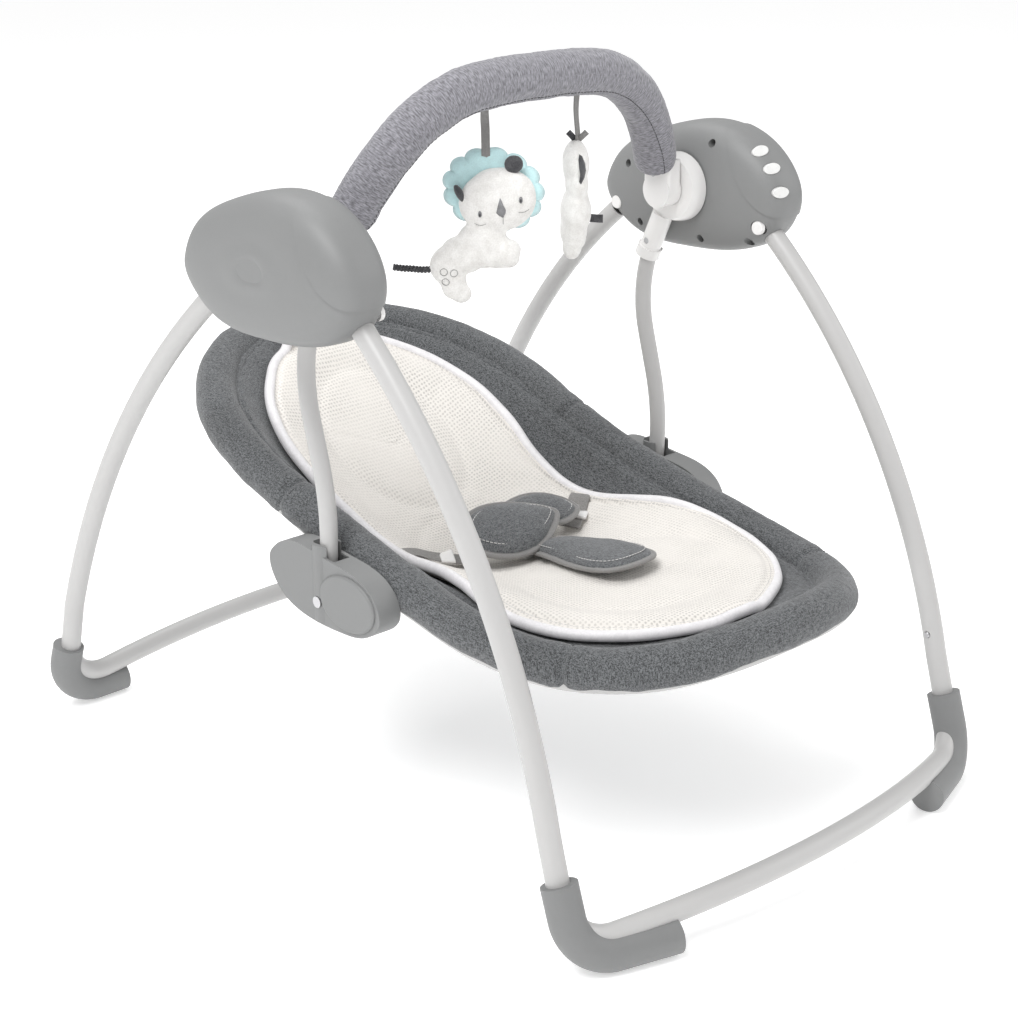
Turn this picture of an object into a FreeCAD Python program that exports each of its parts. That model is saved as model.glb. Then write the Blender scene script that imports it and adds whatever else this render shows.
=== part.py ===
import FreeCAD, Part
import math
import os
import Sketcher
from FreeCAD import Vector, Placement, Rotation

# Baby swing: two A-frames carry a hub on each side, a seat and a toy bar swing between the hubs.
# X runs from hub to hub, -Y is the foot end, Z is up, the floor is Z = 0. All lengths in mm.

doc = FreeCAD.newDocument("BabySwing")
sheet = doc.addObject("Spreadsheet::Sheet", "Sizes")

SIZES = {
    # tube stand
    "leg_od": 22.0,
    "leg_wall": 1.5,
    "half_span": 286.8,
    "half_span_rear": 279.7,
    "seam_height": 129.0,
    "front_reach": 345.7,
    "rear_reach": 404.6,
    "front_spread": 289.4,
    "rear_spread": 307.5,
    "spigot_len": 38.0,
    "corner_radius": 44.0,
    "tube_low": 27.0,
    "boot_wall": 6.5,
    "sole_flat": 1.5,
    # hubs
    "pivot_height": 590.0,
    "hub_mid_x": 292.0,
    "hub_half_thick": 40.0,
    "hub_scale": 1.0,
    "hub_wall": 3.0,
    "hub_split_x": 288.0,
    "cap_rise": 1.5,
    "door_long": 46.0,
    "door_short": 30.0,
    "groove_wide": 2.0,
    # swing axle and clamps
    "axle_radius": 6.0,
    "axle_len": 62.0,
    "bush_wall": 4.0,
    "run_clear": 0.05,
    "dome_radius": 38.0,
    "dome_gap": 1.2,
    "dome_thick": 18.0,
    "clamp_od": 24.0,
    "disc_thick": 20.0,
    "disc_radius": 19.0,
    # hangers
    "hanger_od": 18.0,
    "hanger_x": 240.0,
    "hanger_wall": 1.5,
    # toy bar
    "bar_od": 14.0,
    "sleeve_od": 46.0,
    "bar_rise": 147.4,
    "bar_half": 212.0,
    # seat
    "ring_od": 16.0,
    "roll_radius": 19.5,
    "cloth_thick": 8.0,
    "pad_thick": 12.0,
    "soft_gap": 0.5,
    "cover_thick": 27.0,
    "cover_wall": 2.5,
    # buttons and screws
    "snap_radius": 3.5,
    "release_radius": 7.5,
    "release_len": 5.5,
    "key_long": 9.5,
    "key_short": 6.0,
    "key_rise": 2.0,
    "fit_gap": 0.3,
    "screw_radius": 2.0,
    "screw_head": 4.0,
}
for row, (alias, value) in enumerate(SIZES.items(), start=1):
    sheet.set(f"A{row}", alias)
    sheet.set(f"B{row}", str(value))
    sheet.setAlias(f"B{row}", alias)
doc.recompute()


def size(alias):
    return float(sheet.get(alias))


PARTS = []


def keep(obj, label):
    """Give an object its label and list it for export."""
    obj.Label = label
    PARTS.append(obj)
    return obj


def shape_part(label, shape):
    """A piece whose curved form neither PartDesign nor a primitive gives."""
    obj = doc.addObject("Part::Feature", label)
    obj.Shape = shape
    obj.Placement = shape.Placement
    return keep(obj, label)


def mirrored(source, label):
    """The same piece on the other side of the plane X = 0."""
    obj = doc.addObject("Part::Mirroring", label)
    obj.Source = source
    obj.Base = Vector(0, 0, 0)
    obj.Normal = Vector(1, 0, 0)
    return keep(obj, label)


def joined(label, pieces):
    """Separate like pieces kept together in one node."""
    return shape_part(label, Part.makeCompound(pieces))


def cylinder(name, radius, height, base, along="X"):
    """A Part::Cylinder whose radius, height and base are expressions on the sheet."""
    obj = doc.addObject("Part::Cylinder", name)
    turns = {"X": Rotation(Vector(0, 1, 0), 90), "Y": Rotation(Vector(1, 0, 0), -90), "Z": Rotation()}
    obj.Placement = Placement(Vector(0, 0, 0), turns[along])
    obj.setExpression("Radius", radius)
    obj.setExpression("Height", height)
    for axis, value in zip("xyz", base):
        obj.setExpression(f"Placement.Base.{axis}", value)
    return obj


def boolean(kind, name, base, tool):
    obj = doc.addObject(kind, name)
    obj.Base = base
    obj.Tool = tool
    return obj


def both_sides(obj, label):
    """A piece and its twin across the plane X = 0, kept in one node."""
    twin = doc.addObject("Part::Mirroring", label + "_twin")
    twin.Source = obj
    twin.Normal = Vector(1, 0, 0)
    pair = doc.addObject("Part::Compound", label)
    pair.Links = [obj, twin]
    return keep(pair, label)


def flip(shape):
    return shape.mirror(Vector(0, 0, 0), Vector(1, 0, 0))


def rod(start, end, radius):
    """A round bar between two points."""
    span = end - start
    return Part.makeCylinder(radius, span.Length, start, span)


def circle_wire(centre, normal, radius):
    return Part.Wire(Part.makeCircle(radius, centre, normal))


def first_tangent(wire):
    edge = wire.OrderedEdges[0]
    if edge.Orientation == "Reversed":
        return -edge.tangentAt(edge.LastParameter), edge.valueAt(edge.LastParameter)
    return edge.tangentAt(edge.FirstParameter), edge.valueAt(edge.FirstParameter)


def pipe(wire, radius):
    tangent, start = first_tangent(wire)
    solid = wire.makePipeShell([circle_wire(start, tangent, radius)], True, False)
    if solid.Volume < 0:
        solid.reverse()
    return solid


def main_solid(shape):
    return max(shape.Solids, key=lambda solid: solid.Volume)


def hollow_pipe(wire, outer, wall):
    return pipe(wire, outer).cut(pipe(wire, outer - wall))


def bent_wire(points, radii):
    """Straight runs through the points, joined by tangent arcs of the given radii."""
    edges = []
    last = points[0]
    for i in range(1, len(points) - 1):
        corner = points[i]
        back = (points[i - 1] - corner).normalize()
        ahead = (points[i + 1] - corner).normalize()
        half = back.getAngle(ahead) / 2
        reach = radii[i - 1] / math.tan(half)
        bisector = (back + ahead).normalize()
        centre = corner + bisector * (radii[i - 1] / math.sin(half))
        enter = corner + back * reach
        leave = corner + ahead * reach
        middle = centre - bisector * radii[i - 1]
        if (enter - last).Length > 1e-6:
            edges.append(Part.LineSegment(last, enter).toShape())
        edges.append(Part.Arc(enter, middle, leave).toShape())
        last = leave
    edges.append(Part.LineSegment(last, points[-1]).toShape())
    return Part.Wire(edges)


def smooth_wire(points):
    """A flowing path inside a polygon: tangent arcs as large as the runs allow."""
    radii = []
    for i in range(1, len(points) - 1):
        back = points[i - 1] - points[i]
        ahead = points[i + 1] - points[i]
        reach = 0.49 * min(back.Length * (2 if i == 1 else 1), ahead.Length * (2 if i == len(points) - 2 else 1))
        radii.append(reach * math.tan(back.getAngle(ahead) / 2))
    return bent_wire(points, radii)


def spline(points, closed=False):
    curve = Part.BSplineCurve()
    curve.interpolate(points, PeriodicFlag=closed)
    return curve


# ---------------------------------------------------------------- tube stand
leg_r = size("leg_od") / 2
leg_wall = size("leg_wall")
seam_z = size("seam_height")
pivot_z = size("pivot_height")

front_seam = Vector(size("front_spread"), -size("front_reach"), seam_z)
rear_seam = Vector(size("rear_spread"), size("rear_reach"), seam_z + 4.7)
front_top = Vector(size("half_span"), -80.0, pivot_z - 23.0)
rear_top = Vector(size("half_span_rear") - 0.5, 118.0, pivot_z - 43.0)


def bulged_arc(top, seam, bulge, outward):
    """The arc of a leg: a chord pushed outward at its middle."""
    chord = seam - top
    side = Vector(0, chord.z, -chord.y).normalize() * outward
    return Part.Wire(Part.Arc(top, (top + seam) * 0.5 + side * bulge, seam).toShape())


front_path = bulged_arc(front_top, front_seam, 42.0, 1)
rear_path = bulged_arc(rear_top, rear_seam, 39.0, -1)


def end_direction(wire):
    edge = wire.OrderedEdges[-1]
    return edge.tangentAt(edge.LastParameter)


def upper_leg(path):
    return hollow_pipe(path, leg_r, leg_wall)


def snap_hole(point, axis_x):
    """The round hole for a snap button, through the inner wall of a leg."""
    gap = size("fit_gap")
    return Part.makeCylinder(size("snap_radius") + gap, leg_r + 2, point, Vector(-axis_x, 0, 0))


def up_the_leg(path, seam, length):
    """A point on the leg's axis a given length above its seam."""
    edge = path.OrderedEdges[0]
    return edge.valueAt(edge.getParameterByLength(edge.Length - length))


front_snap = up_the_leg(front_path, front_seam, size("spigot_len") * 0.6)
rear_snap = up_the_leg(rear_path, rear_seam, size("spigot_len") * 0.6)
front_tube = upper_leg(front_path).cut(snap_hole(front_snap, 1))
rear_tube = upper_leg(rear_path).cut(snap_hole(rear_snap, 1))

front_tube_right = shape_part("front_tube_right", front_tube)
front_tube_left = mirrored(front_tube_right, "front_tube_left")
rear_tube_right = shape_part("rear_tube_right", rear_tube)
rear_tube_left = mirrored(rear_tube_right, "rear_tube_left")


def floor_bar(seam, corner, middle, leg_path):
    """The lower tube: both spigots, both corners and the bar between them."""
    left = Vector(-corner.x, corner.y, corner.z)
    left_seam = Vector(-seam.x, seam.y, seam.z)
    half_turn = (corner - middle).getAngle(left - middle) / 2
    bow = (corner - middle).Length * 0.82 * math.tan(half_turn)
    radii = [size("corner_radius"), bow, size("corner_radius")]
    path = bent_wire([seam, corner, middle, left, left_seam], radii)
    direction = end_direction(leg_path)
    bar = hollow_pipe(path, leg_r, leg_wall).cut(rod(seam, seam - direction * 6.0, leg_r + 6.0))
    bar = bar.cut(flip(rod(seam, seam - direction * 6.0, leg_r + 6.0)))
    spigot_r = leg_r - leg_wall - 0.4
    edge = leg_path.OrderedEdges[0]
    start = edge.getParameterByLength(edge.Length - size("spigot_len"))
    stub = hollow_pipe(Part.Wire(edge.Curve.toShape(start, edge.LastParameter)), spigot_r, leg_wall)
    stub = stub.cut(snap_hole(up_the_leg(leg_path, seam, size("spigot_len") * 0.6), 1))
    root = seam + direction * 12.0
    ring = rod(seam, root, leg_r - leg_wall + 0.2).cut(rod(seam, root, spigot_r - leg_wall))
    stub = stub.fuse(ring)
    return bar.fuse(stub).fuse(flip(stub)), path


front_corner = Vector(size("front_spread") + 0.5, -374.0, size("tube_low"))
front_middle = Vector(0, -470.0, size("tube_low") + 33.0)
rear_corner = Vector(size("rear_spread") + 4.5, 427.0, size("tube_low") + 1.0)
rear_middle = Vector(0, 421.0, size("tube_low") + 57.0)
front_bar, front_bar_path = floor_bar(front_seam, front_corner, front_middle, front_path)
rear_bar, rear_bar_path = floor_bar(rear_seam, rear_corner, rear_middle, rear_path)
shape_part("front_floor_tube", front_bar)
shape_part("rear_floor_tube", rear_bar)


def boot(seam, corner, middle, leg_up, bar_in, aside, tube_path):
    """A plastic foot that cradles a corner of a floor tube, flat on the floor."""
    boot_r = leg_r + size("boot_wall")
    drop = corner.z - (boot_r - size("sole_flat"))
    up = (seam - corner).normalize()
    inward = (middle - corner).normalize()
    outward = Vector(aside, math.copysign(size("boot_wall"), corner.y), -drop)
    seat = corner + outward
    level = Vector(inward.x, inward.y, 0.02).normalize()
    path = bent_wire([corner + up * leg_up + outward * 0.35, seat, seat + level * bar_in], [size("corner_radius")])
    block = pipe(path, boot_r)
    block = block.common(Part.makeBox(200, 1200, 400, Vector(seam.x - 150, -600, 0)))
    foot = main_solid(block.cut(pipe(tube_path, leg_r + 0.1)))
    if foot.Volume < 0:
        foot.reverse()
    return foot


front_boot = boot(front_seam, front_corner, front_middle, 66.0, 102.0, -1.0, front_bar_path)
rear_boot = boot(rear_seam, rear_corner, rear_middle, 60.0, 84.0, 7.0, rear_bar_path)
front_foot_right = shape_part("front_foot_right", front_boot)
mirrored(front_foot_right, "front_foot_left")
rear_foot_right = shape_part("rear_foot_right", rear_boot)
mirrored(rear_foot_right, "rear_foot_left")

# ---------------------------------------------------------------- hubs
hub_centre = Vector(size("hub_mid_x"), 0, pivot_z - 1.0)
HUB_OUTLINE = [(135, -8), (108, 31), (53, 57), (-16, 71), (-70, 60), (-105, 35),
               (-124, -4), (-110, -41), (-60, -66), (10, -72), (76, -67), (119, -43)]
ROUNDNESS = 3.2


def hub_section(level, grow):
    """One outline of the hub, from full size at its middle to small at either face."""
    points = []
    for y, z in HUB_OUTLINE:
        reach = math.hypot(y, z)
        factor = level * size("hub_scale") * (1 + grow / reach)
        points.append((y * factor, z * factor))
    return points


made_hubs = {}


def hub_solid(grow):
    """The closed pebble of a hub, its skin moved out by grow."""
    if grow in made_hubs:
        return made_hubs[grow]
    half = size("hub_half_thick") + grow
    rising = [0.15, 0.34, 0.52, 0.67, 0.79, 0.88, 0.945, 0.985]
    levels = rising + [1.0] + rising[::-1]
    wires = []
    for i, level in enumerate(levels):
        offset = half * (1 - level ** ROUNDNESS) ** (1 / ROUNDNESS)
        side = -1 if i < len(rising) else 1
        x = hub_centre.x + side * offset
        points = [Vector(x, hub_centre.y + y, hub_centre.z + z) for y, z in hub_section(level, grow)]
        wires.append(Part.Wire(spline(points, True).toShape()))
    made_hubs[grow] = Part.makeLoft(wires, True, False)
    return made_hubs[grow]


def prism_x(points, start, length):
    """A closed outline in Y and Z, pushed along X."""
    loop = [Vector(start, y, z) for y, z in points]
    return Part.Face(Part.makePolygon(loop + [loop[0]])).extrude(Vector(length, 0, 0))


def oval_x(y, z, long_r, short_r, start, length):
    ellipse = Part.Ellipse(Vector(0, 0, 0), long_r, short_r).toShape()
    face = Part.Face(Part.Wire(ellipse))
    face.Placement = Placement(Vector(start, y, z), Rotation(Vector(0, 1, 0), Vector(0, 0, 1), Vector(1, 0, 0)))
    return face.extrude(Vector(length, 0, 0))


wall = size("hub_wall")
split_x = size("hub_split_x")
full_hub = hub_solid(0)
skin = full_hub.cut(hub_solid(-wall))

# the raised cap over the front edge ends on an S-shaped line
cap_line = spline([Vector(0, -28, pivot_z + 84), Vector(0, -62, pivot_z + 44), Vector(0, -80, pivot_z + 10),
                   Vector(0, -100, pivot_z - 12), Vector(0, -150, pivot_z - 22)]).toShape()


def cap_prism(gap):
    line = cap_line.copy()
    line.translate(Vector(200, gap, -gap))
    top = Vector(200, -28 + gap, pivot_z + 84 - gap)
    low = Vector(200, -150 + gap, pivot_z - 22 - gap)
    edges = [line, Part.LineSegment(low, Vector(200, -160, low.z)).toShape(),
             Part.LineSegment(Vector(200, -160, low.z), Vector(200, -160, top.z)).toShape(),
             Part.LineSegment(Vector(200, -160, top.z), top).toShape()]
    return Part.Face(Part.Wire(Part.__sortEdges__(edges))).extrude(Vector(200, 0, 0))


cap = hub_solid(size("cap_rise")).cut(hub_solid(-wall)).common(cap_prism(0))
shell = skin.cut(cap_prism(size("fit_gap")))

inner_half = Part.makeBox(200, 600, 400, Vector(split_x - 200, -300, pivot_z - 200))
outer_half = Part.makeBox(200, 600, 400, Vector(split_x, -300, pivot_z - 200))


def leg_clearance(path):
    tangent, start = first_tangent(path)
    bore = pipe(path, leg_r + size("fit_gap"))
    return bore


leg_bores = leg_clearance(front_path).fuse(leg_clearance(rear_path))
shell = shell.cut(leg_bores)
cap = cap.cut(leg_clearance(front_path))
inner_shell = shell.common(inner_half)
outer_shell = shell.common(outer_half)

# axle hole, release holes and screw sockets in the inner shell
axle_y = 0.0
bush_r = size("axle_radius") + size("bush_wall")
inner_face_x = hub_centre.x - size("hub_half_thick")
inner_shell = inner_shell.cut(Part.makeCylinder(bush_r + 0.05, 40, Vector(inner_face_x - 5, axle_y, pivot_z),
                                                Vector(1, 0, 0)))
boss = Part.makeCylinder(bush_r + 4, 26, Vector(inner_face_x + 1.5, axle_y, pivot_z), Vector(1, 0, 0))
boss = boss.cut(Part.makeCylinder(bush_r + 0.05, 30, Vector(inner_face_x, axle_y, pivot_z), Vector(1, 0, 0)))
inner_shell = inner_shell.fuse(boss.common(full_hub))

RELEASE = {"front": (-101.0, pivot_z - 34.0), "rear": (105.0, pivot_z - 33.0)}
release_r = size("release_radius")
release_bodies = {}
for name, (y, z) in RELEASE.items():
    hole = Part.makeCylinder(release_r + size("fit_gap"), 60, Vector(inner_face_x - 10, y, z), Vector(1, 0, 0))
    inner_shell = inner_shell.cut(hole)

SCREWS = [(-38.0, 50.0), (-86.0, -52.0), (66.0, -50.0), (84.0, 14.0), (-24.0, -56.0)]
screw_r = size("screw_radius")
head_r = size("screw_head")
screws = []
for y, dz in SCREWS:
    z = pivot_z + dz
    tower = Part.makeCylinder(head_r + 2.5, 60, Vector(inner_face_x, y, z), Vector(1, 0, 0))
    tower = tower.common(full_hub).common(inner_half)
    socket = Part.makeCylinder(head_r + 0.5, 60, Vector(inner_face_x - 30, y, z), Vector(1, 0, 0))
    socket.translate(Vector(split_x - 8.0 - (inner_face_x + 30), 0, 0))
    shank = Part.makeCylinder(screw_r + 0.2, 90, Vector(inner_face_x, y, z), Vector(1, 0, 0))
    inner_shell = inner_shell.fuse(tower.cut(leg_bores)).cut(socket).cut(shank)
    post = Part.makeCylinder(head_r + 1.5, 60, Vector(split_x, y, z), Vector(1, 0, 0))
    post = post.common(full_hub).cut(leg_bores)
    outer_shell = outer_shell.fuse(post).cut(Part.makeCylinder(screw_r, 16, Vector(split_x, y, z), Vector(1, 0, 0)))
    head = Part.makeCylinder(head_r, 3.0, Vector(split_x - 11.0, y, z), Vector(1, 0, 0))
    slot = Part.makeBox(1.5, 5.0, 1.0, Vector(split_x - 11.0, y - 2.5, z - 0.5))
    stem = Part.makeCylinder(screw_r - 0.05, 19.0, Vector(split_x - 8.0, y, z), Vector(1, 0, 0))
    screws.append(head.fuse(stem).cut(slot))

# two posts carry the circuit board
for y, dz in ((-58.0, 18.0), (-60.0, -10.0)):
    post = Part.makeCylinder(3.0, 60, Vector(split_x + 13.6, y, pivot_z + dz), Vector(1, 0, 0))
    outer_shell = outer_shell.fuse(post.common(full_hub).cut(leg_bores))

# oval: a lid over the cells on the right, the same outline as a groove on the left
oval_y = -4.0
oval_z = pivot_z - 4.0
door_long = size("door_long")
door_short = size("door_short")
outer_face_x = hub_centre.x + size("hub_half_thick")
lid = main_solid(skin.common(oval_x(oval_y, oval_z, door_long, door_short, split_x + 20, 60)))
opening = oval_x(oval_y, oval_z, door_long + size("fit_gap"), door_short + size("fit_gap"), split_x + 20, 60)
groove = oval_x(oval_y, oval_z, door_long + size("groove_wide") / 2, door_short + size("groove_wide") / 2,
                outer_face_x - 3.0, 20)
groove = groove.cut(oval_x(oval_y, oval_z, door_long - size("groove_wide") / 2,
                           door_short - size("groove_wide") / 2, outer_face_x - 4.0, 30))
groove = groove.cut(hub_solid(-1.0))
outer_right = outer_shell.cut(opening)
outer_left = main_solid(outer_shell.cut(groove))

# loudspeaker holes in the right inner shell
speaker_y = 48.0
speaker_z = pivot_z + 20.0
grille = []
for ring, count in ((0.0, 1), (6.0, 6), (12.0, 12)):
    for k in range(count):
        angle = 2 * math.pi * k / count
        y = speaker_y + ring * math.cos(angle)
        z = speaker_z + ring * math.sin(angle)
        grille.append(Part.makeCylinder(1.2, 30, Vector(inner_face_x - 5, y, z), Vector(1, 0, 0)))
inner_right = inner_shell.cut(grille)

# three oval keys on the rounded edge of the right cap
KEY_ANGLES = [153.0, 164.5, 177.0]
key_x = hub_centre.x - 17.0
keys = []
for angle in KEY_ANGLES:
    turn = math.radians(angle)
    ray = Vector(0, math.cos(turn), math.sin(turn))
    probe = Part.LineSegment(Vector(key_x, 0, hub_centre.z), Vector(key_x, 0, hub_centre.z) + ray * 220).toShape()
    capped = hub_solid(size("cap_rise"))
    hit = capped.common(probe).Vertexes
    edge = max((v.Point for v in hit), key=lambda p: (p - hub_centre).Length)
    normal = Vector(-0.45, ray.y, ray.z).normalize()
    along = Vector(1, 0, 0).cross(normal).normalize()
    face = Part.Face(Part.Wire(Part.Ellipse(Vector(0, 0, 0), size("key_long"), size("key_short")).toShape()))
    hole = Part.Face(Part.Wire(Part.Ellipse(Vector(0, 0, 0), size("key_long") + size("fit_gap"),
                                            size("key_short") + size("fit_gap")).toShape()))
    turned = Rotation(normal.cross(along), along, normal)
    face.Placement = Placement(edge - normal * 6.0, turned)
    hole.Placement = Placement(edge - normal * 9.0, turned)
    keys.append((face.extrude(normal * (6.0 + size("key_rise"))), normal))
    key_hole = hole.extrude(normal * 16.0)
    if len(keys) == 1:
        right_cap = cap.cut(key_hole)
    else:
        right_cap = right_cap.cut(key_hole)

shape_part("hub_inner_right", inner_right)
shape_part("hub_outer_right", outer_right)
shape_part("control_panel", right_cap)
shape_part("hub_inner_left", flip(inner_shell))
shape_part("hub_outer_left", flip(outer_left))
shape_part("hub_cap_left", flip(cap))
shape_part("battery_lid", lid)
joined("hub_screws", screws + [flip(s) for s in screws])
for (key, normal), label in zip(keys, ("key_speed", "key_timer", "key_music")):
    rim = [e for e in key.Edges if (e.CenterOfMass - key.CenterOfMass).dot(normal) > 2.0 and e.Closed]
    shape_part(label, key.makeFillet(1.2, rim))

# release buttons: a round cap with a collar behind the shell
for name, (y, z) in RELEASE.items():
    probe = Part.LineSegment(Vector(inner_face_x - 20, y, z), Vector(hub_centre.x, y, z)).toShape()
    surface = min(v.Point.x for v in full_hub.common(probe).Vertexes)
    button = Part.makeCylinder(release_r, size("release_len"), Vector(surface - 2.5, y, z), Vector(1, 0, 0))
    button = button.makeFillet(1.5, [e for e in button.Edges if abs(e.CenterOfMass.x - surface + 2.5) < 0.01])
    right = shape_part(f"release_{name}_right", button)
    mirrored(right, f"release_{name}_left")

# snap buttons above the seams of the legs
for name, point in (("front", front_snap), ("rear", rear_snap)):
    pin = rod(point, point + Vector(-(leg_r + 1.5), 0, 0), size("snap_radius"))
    pin = pin.makeFillet(1.4, [e for e in pin.Edges if abs(e.CenterOfMass.x - point.x + leg_r + 1.5) < 0.01])
    right = shape_part(f"snap_{name}_right", pin)
    mirrored(right, f"snap_{name}_left")

# ---------------------------------------------------------------- swing axle, clamps and hangers
axle_r = size("axle_radius")
dome_face = inner_face_x - size("dome_gap")
dome_start = dome_face - size("dome_thick")
clamp_r = size("clamp_od") / 2
hanger_r = size("hanger_od") / 2
hanger_x = size("hanger_x")

AXLE_START = "Sizes.hub_mid_x - Sizes.hub_half_thick - Sizes.dome_gap - Sizes.dome_thick + 4"
FACE = "Sizes.hub_mid_x - Sizes.hub_half_thick"
axle = cylinder("axle", "Sizes.axle_radius", "Sizes.axle_len", (AXLE_START, "0", "Sizes.pivot_height"))
both_sides(axle, "swing_axles")
bush_body = cylinder("bush_body", "Sizes.axle_radius + Sizes.bush_wall", "24",
                     (FACE + " + 2", "0", "Sizes.pivot_height"))
bush_bore = cylinder("bush_bore", "Sizes.axle_radius + Sizes.run_clear", "30",
                     (FACE, "0", "Sizes.pivot_height"))
both_sides(boolean("Part::Cut", "bush", bush_body, bush_bore), "axle_bushes")

socket_top = Vector(hanger_x, 14, pivot_z - 30)
socket_end = Vector(hanger_x, 36, pivot_z - 78)
socket_dir = (socket_end - socket_top).normalize()

# the hanger leaves its socket, bends back and then forward and ends in the seat hinge
hinge_y = 20.0
hinge_z = 236.0
hanger_path = bent_wire(
    [socket_end - socket_dir * 34, Vector(hanger_x, 50, 470), Vector(hanger_x, 15, 338), Vector(hanger_x, 21, hinge_z - 14)],
    [150.0, 260.0])
hanger = hollow_pipe(hanger_path, hanger_r, size("hanger_wall"))
hinge_pin_r = 4.0
pin_bore = Part.makeCylinder(hinge_pin_r + size("run_clear"), 60, Vector(hanger_x - 30, hinge_y, hinge_z), Vector(1, 0, 0))
hanger = hanger.cut(pin_bore)
joined("hangers", [hanger, flip(hanger)])

ball = Part.makeSphere(size("dome_radius"), Vector(inner_face_x - 2, 0, pivot_z), Vector(1, 0, 0))
slab = Part.makeBox(size("dome_thick"), 200, 200, Vector(dome_start, -100, pivot_z - 100))
dome = ball.common(slab)
arm = rod(socket_top, socket_end, clamp_r)
collar = rod(socket_end - socket_dir * 10, socket_end + socket_dir * 2, clamp_r + 2.0)
below_face = Part.makeBox(60, 200, 200, Vector(dome_face - 60, -100, pivot_z - 130))
dome = dome.fuse(arm.common(below_face)).fuse(collar.common(below_face))
dome = dome.cut(pipe(hanger_path, hanger_r + 0.05))
dome = dome.cut(Part.makeCylinder(axle_r + 0.05, 60, Vector(dome_start + 3.9, 0, pivot_z), Vector(1, 0, 0)))
disc_axis_bore = Part.makeCylinder(5.05, 20, Vector(dome_start - 0.1, 0, pivot_z), Vector(1, 0, 0))
dome = dome.cut(disc_axis_bore)
clamp_at = socket_end - socket_dir * 18
screw_seat = Part.makeCylinder(3.6, 3.2, clamp_at + Vector(-clamp_r - 0.2, 0, 0), Vector(1, 0, 0))
dome = dome.cut(screw_seat)
dome_right = shape_part("dome_right", dome)
reflection = FreeCAD.Matrix()
reflection.scale(Vector(-1, 1, 1))
shape_part("dome_left", dome.transformGeometry(reflection))
clamp_screw = cylinder("clamp_screw", "3.4", "2.4",
                       ("Sizes.hanger_x - Sizes.clamp_od / 2 + 0.6", f"{clamp_at.y:.4f}",
                        f"Sizes.pivot_height - {pivot_z - clamp_at.z:.4f}"))
both_sides(clamp_screw, "clamp_screws")

# ---------------------------------------------------------------- drive inside the right hub
magnet_x = dome_start + 4 + size("axle_len") - 8
arm_plate = Part.makeBox(4, 12, 52, Vector(magnet_x, -6, pivot_z - 46))
arm_plate = arm_plate.fuse(Part.makeCylinder(11, 4, Vector(magnet_x, 0, pivot_z), Vector(1, 0, 0)))
arm_plate = arm_plate.cut(Part.makeCylinder(axle_r + 0.05, 10, Vector(magnet_x - 2, 0, pivot_z), Vector(1, 0, 0)))
magnet = Part.makeCylinder(9, 4, Vector(magnet_x + 4, 0, pivot_z - 40), Vector(1, 0, 0))
shape_part("drive_magnet_arm", arm_plate.fuse(magnet))
coil = Part.makeCylinder(13, 6, Vector(magnet_x + 9.5, 0, pivot_z - 44), Vector(1, 0, 0))
coil = coil.cut(Part.makeCylinder(5, 8, Vector(magnet_x + 9, 0, pivot_z - 44), Vector(1, 0, 0)))
coil_foot = Part.makeBox(6, 24, 18, Vector(magnet_x + 9.5, -12, pivot_z - 73))
coil_foot = coil_foot.common(hub_solid(-wall - 0.2))
shape_part("drive_coil", coil.fuse(coil_foot))

board = doc.addObject("PartDesign::Body", "circuit_board")
plane = [f for f in board.Origin.OriginFeatures if f.Role == "YZ_Plane"][0]
board_sketch = board.newObject("Sketcher::SketchObject", "board_outline")
board_sketch.AttachmentSupport = [(plane, "")]
board_sketch.MapMode = "FlatFace"
corners = [Vector(-88, 24, 0), Vector(-24, 24, 0), Vector(-24, -20, 0), Vector(-88, -20, 0)]
for i in range(4):
    board_sketch.addGeometry(Part.LineSegment(corners[i], corners[(i + 1) % 4]), False)
for i in range(4):
    board_sketch.addConstraint(Sketcher.Constraint("Coincident", i, 2, (i + 1) % 4, 1))
board_pad = board.newObject("PartDesign::Pad", "board_thickness")
board_pad.Profile = board_sketch
board_pad.Length = 1.6
board.Placement = Placement(Vector(split_x + 12, 0, 0), Rotation())
board.setExpression("Placement.Base.z", "Sizes.pivot_height + 4")
board.setExpression("Placement.Base.x", "Sizes.hub_split_x + 12")
keep(board, "circuit_board")

cone = cylinder("speaker_cone", "17", "8", (FACE + " + 9", f"{speaker_y}", "Sizes.pivot_height + 20"))
motor = cylinder("speaker_motor", "11", "6", (FACE + " + 17", f"{speaker_y}", "Sizes.pivot_height + 20"))
keep(boolean("Part::Fuse", "loudspeaker", cone, motor), "loudspeaker")

cell_r = 7.1
cell_x = outer_face_x - wall - cell_r - 3.0
cells = []
for k in range(3):
    z = oval_z + (k - 1) * (2 * cell_r + 1.2)
    cell = Part.makeCylinder(cell_r, 49.5, Vector(cell_x, oval_y - 25, z), Vector(0, 1, 0))
    cells.append(cell.fuse(Part.makeCylinder(2.6, 51, Vector(cell_x, oval_y - 25, z), Vector(0, 1, 0))))
joined("battery_cells", cells)
tray = Part.makeBox(2 * cell_r + 12, 58, 58, Vector(cell_x - cell_r - 2.2, oval_y - 29, oval_z - 29))
pocket = Part.makeBox(2 * cell_r + 14, 54, 54, Vector(cell_x - cell_r - 0.2, oval_y - 27, oval_z - 27))
tray = main_solid(tray.cut(pocket).common(hub_solid(-wall - 0.3)))
shape_part("battery_tray", tray)

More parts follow.
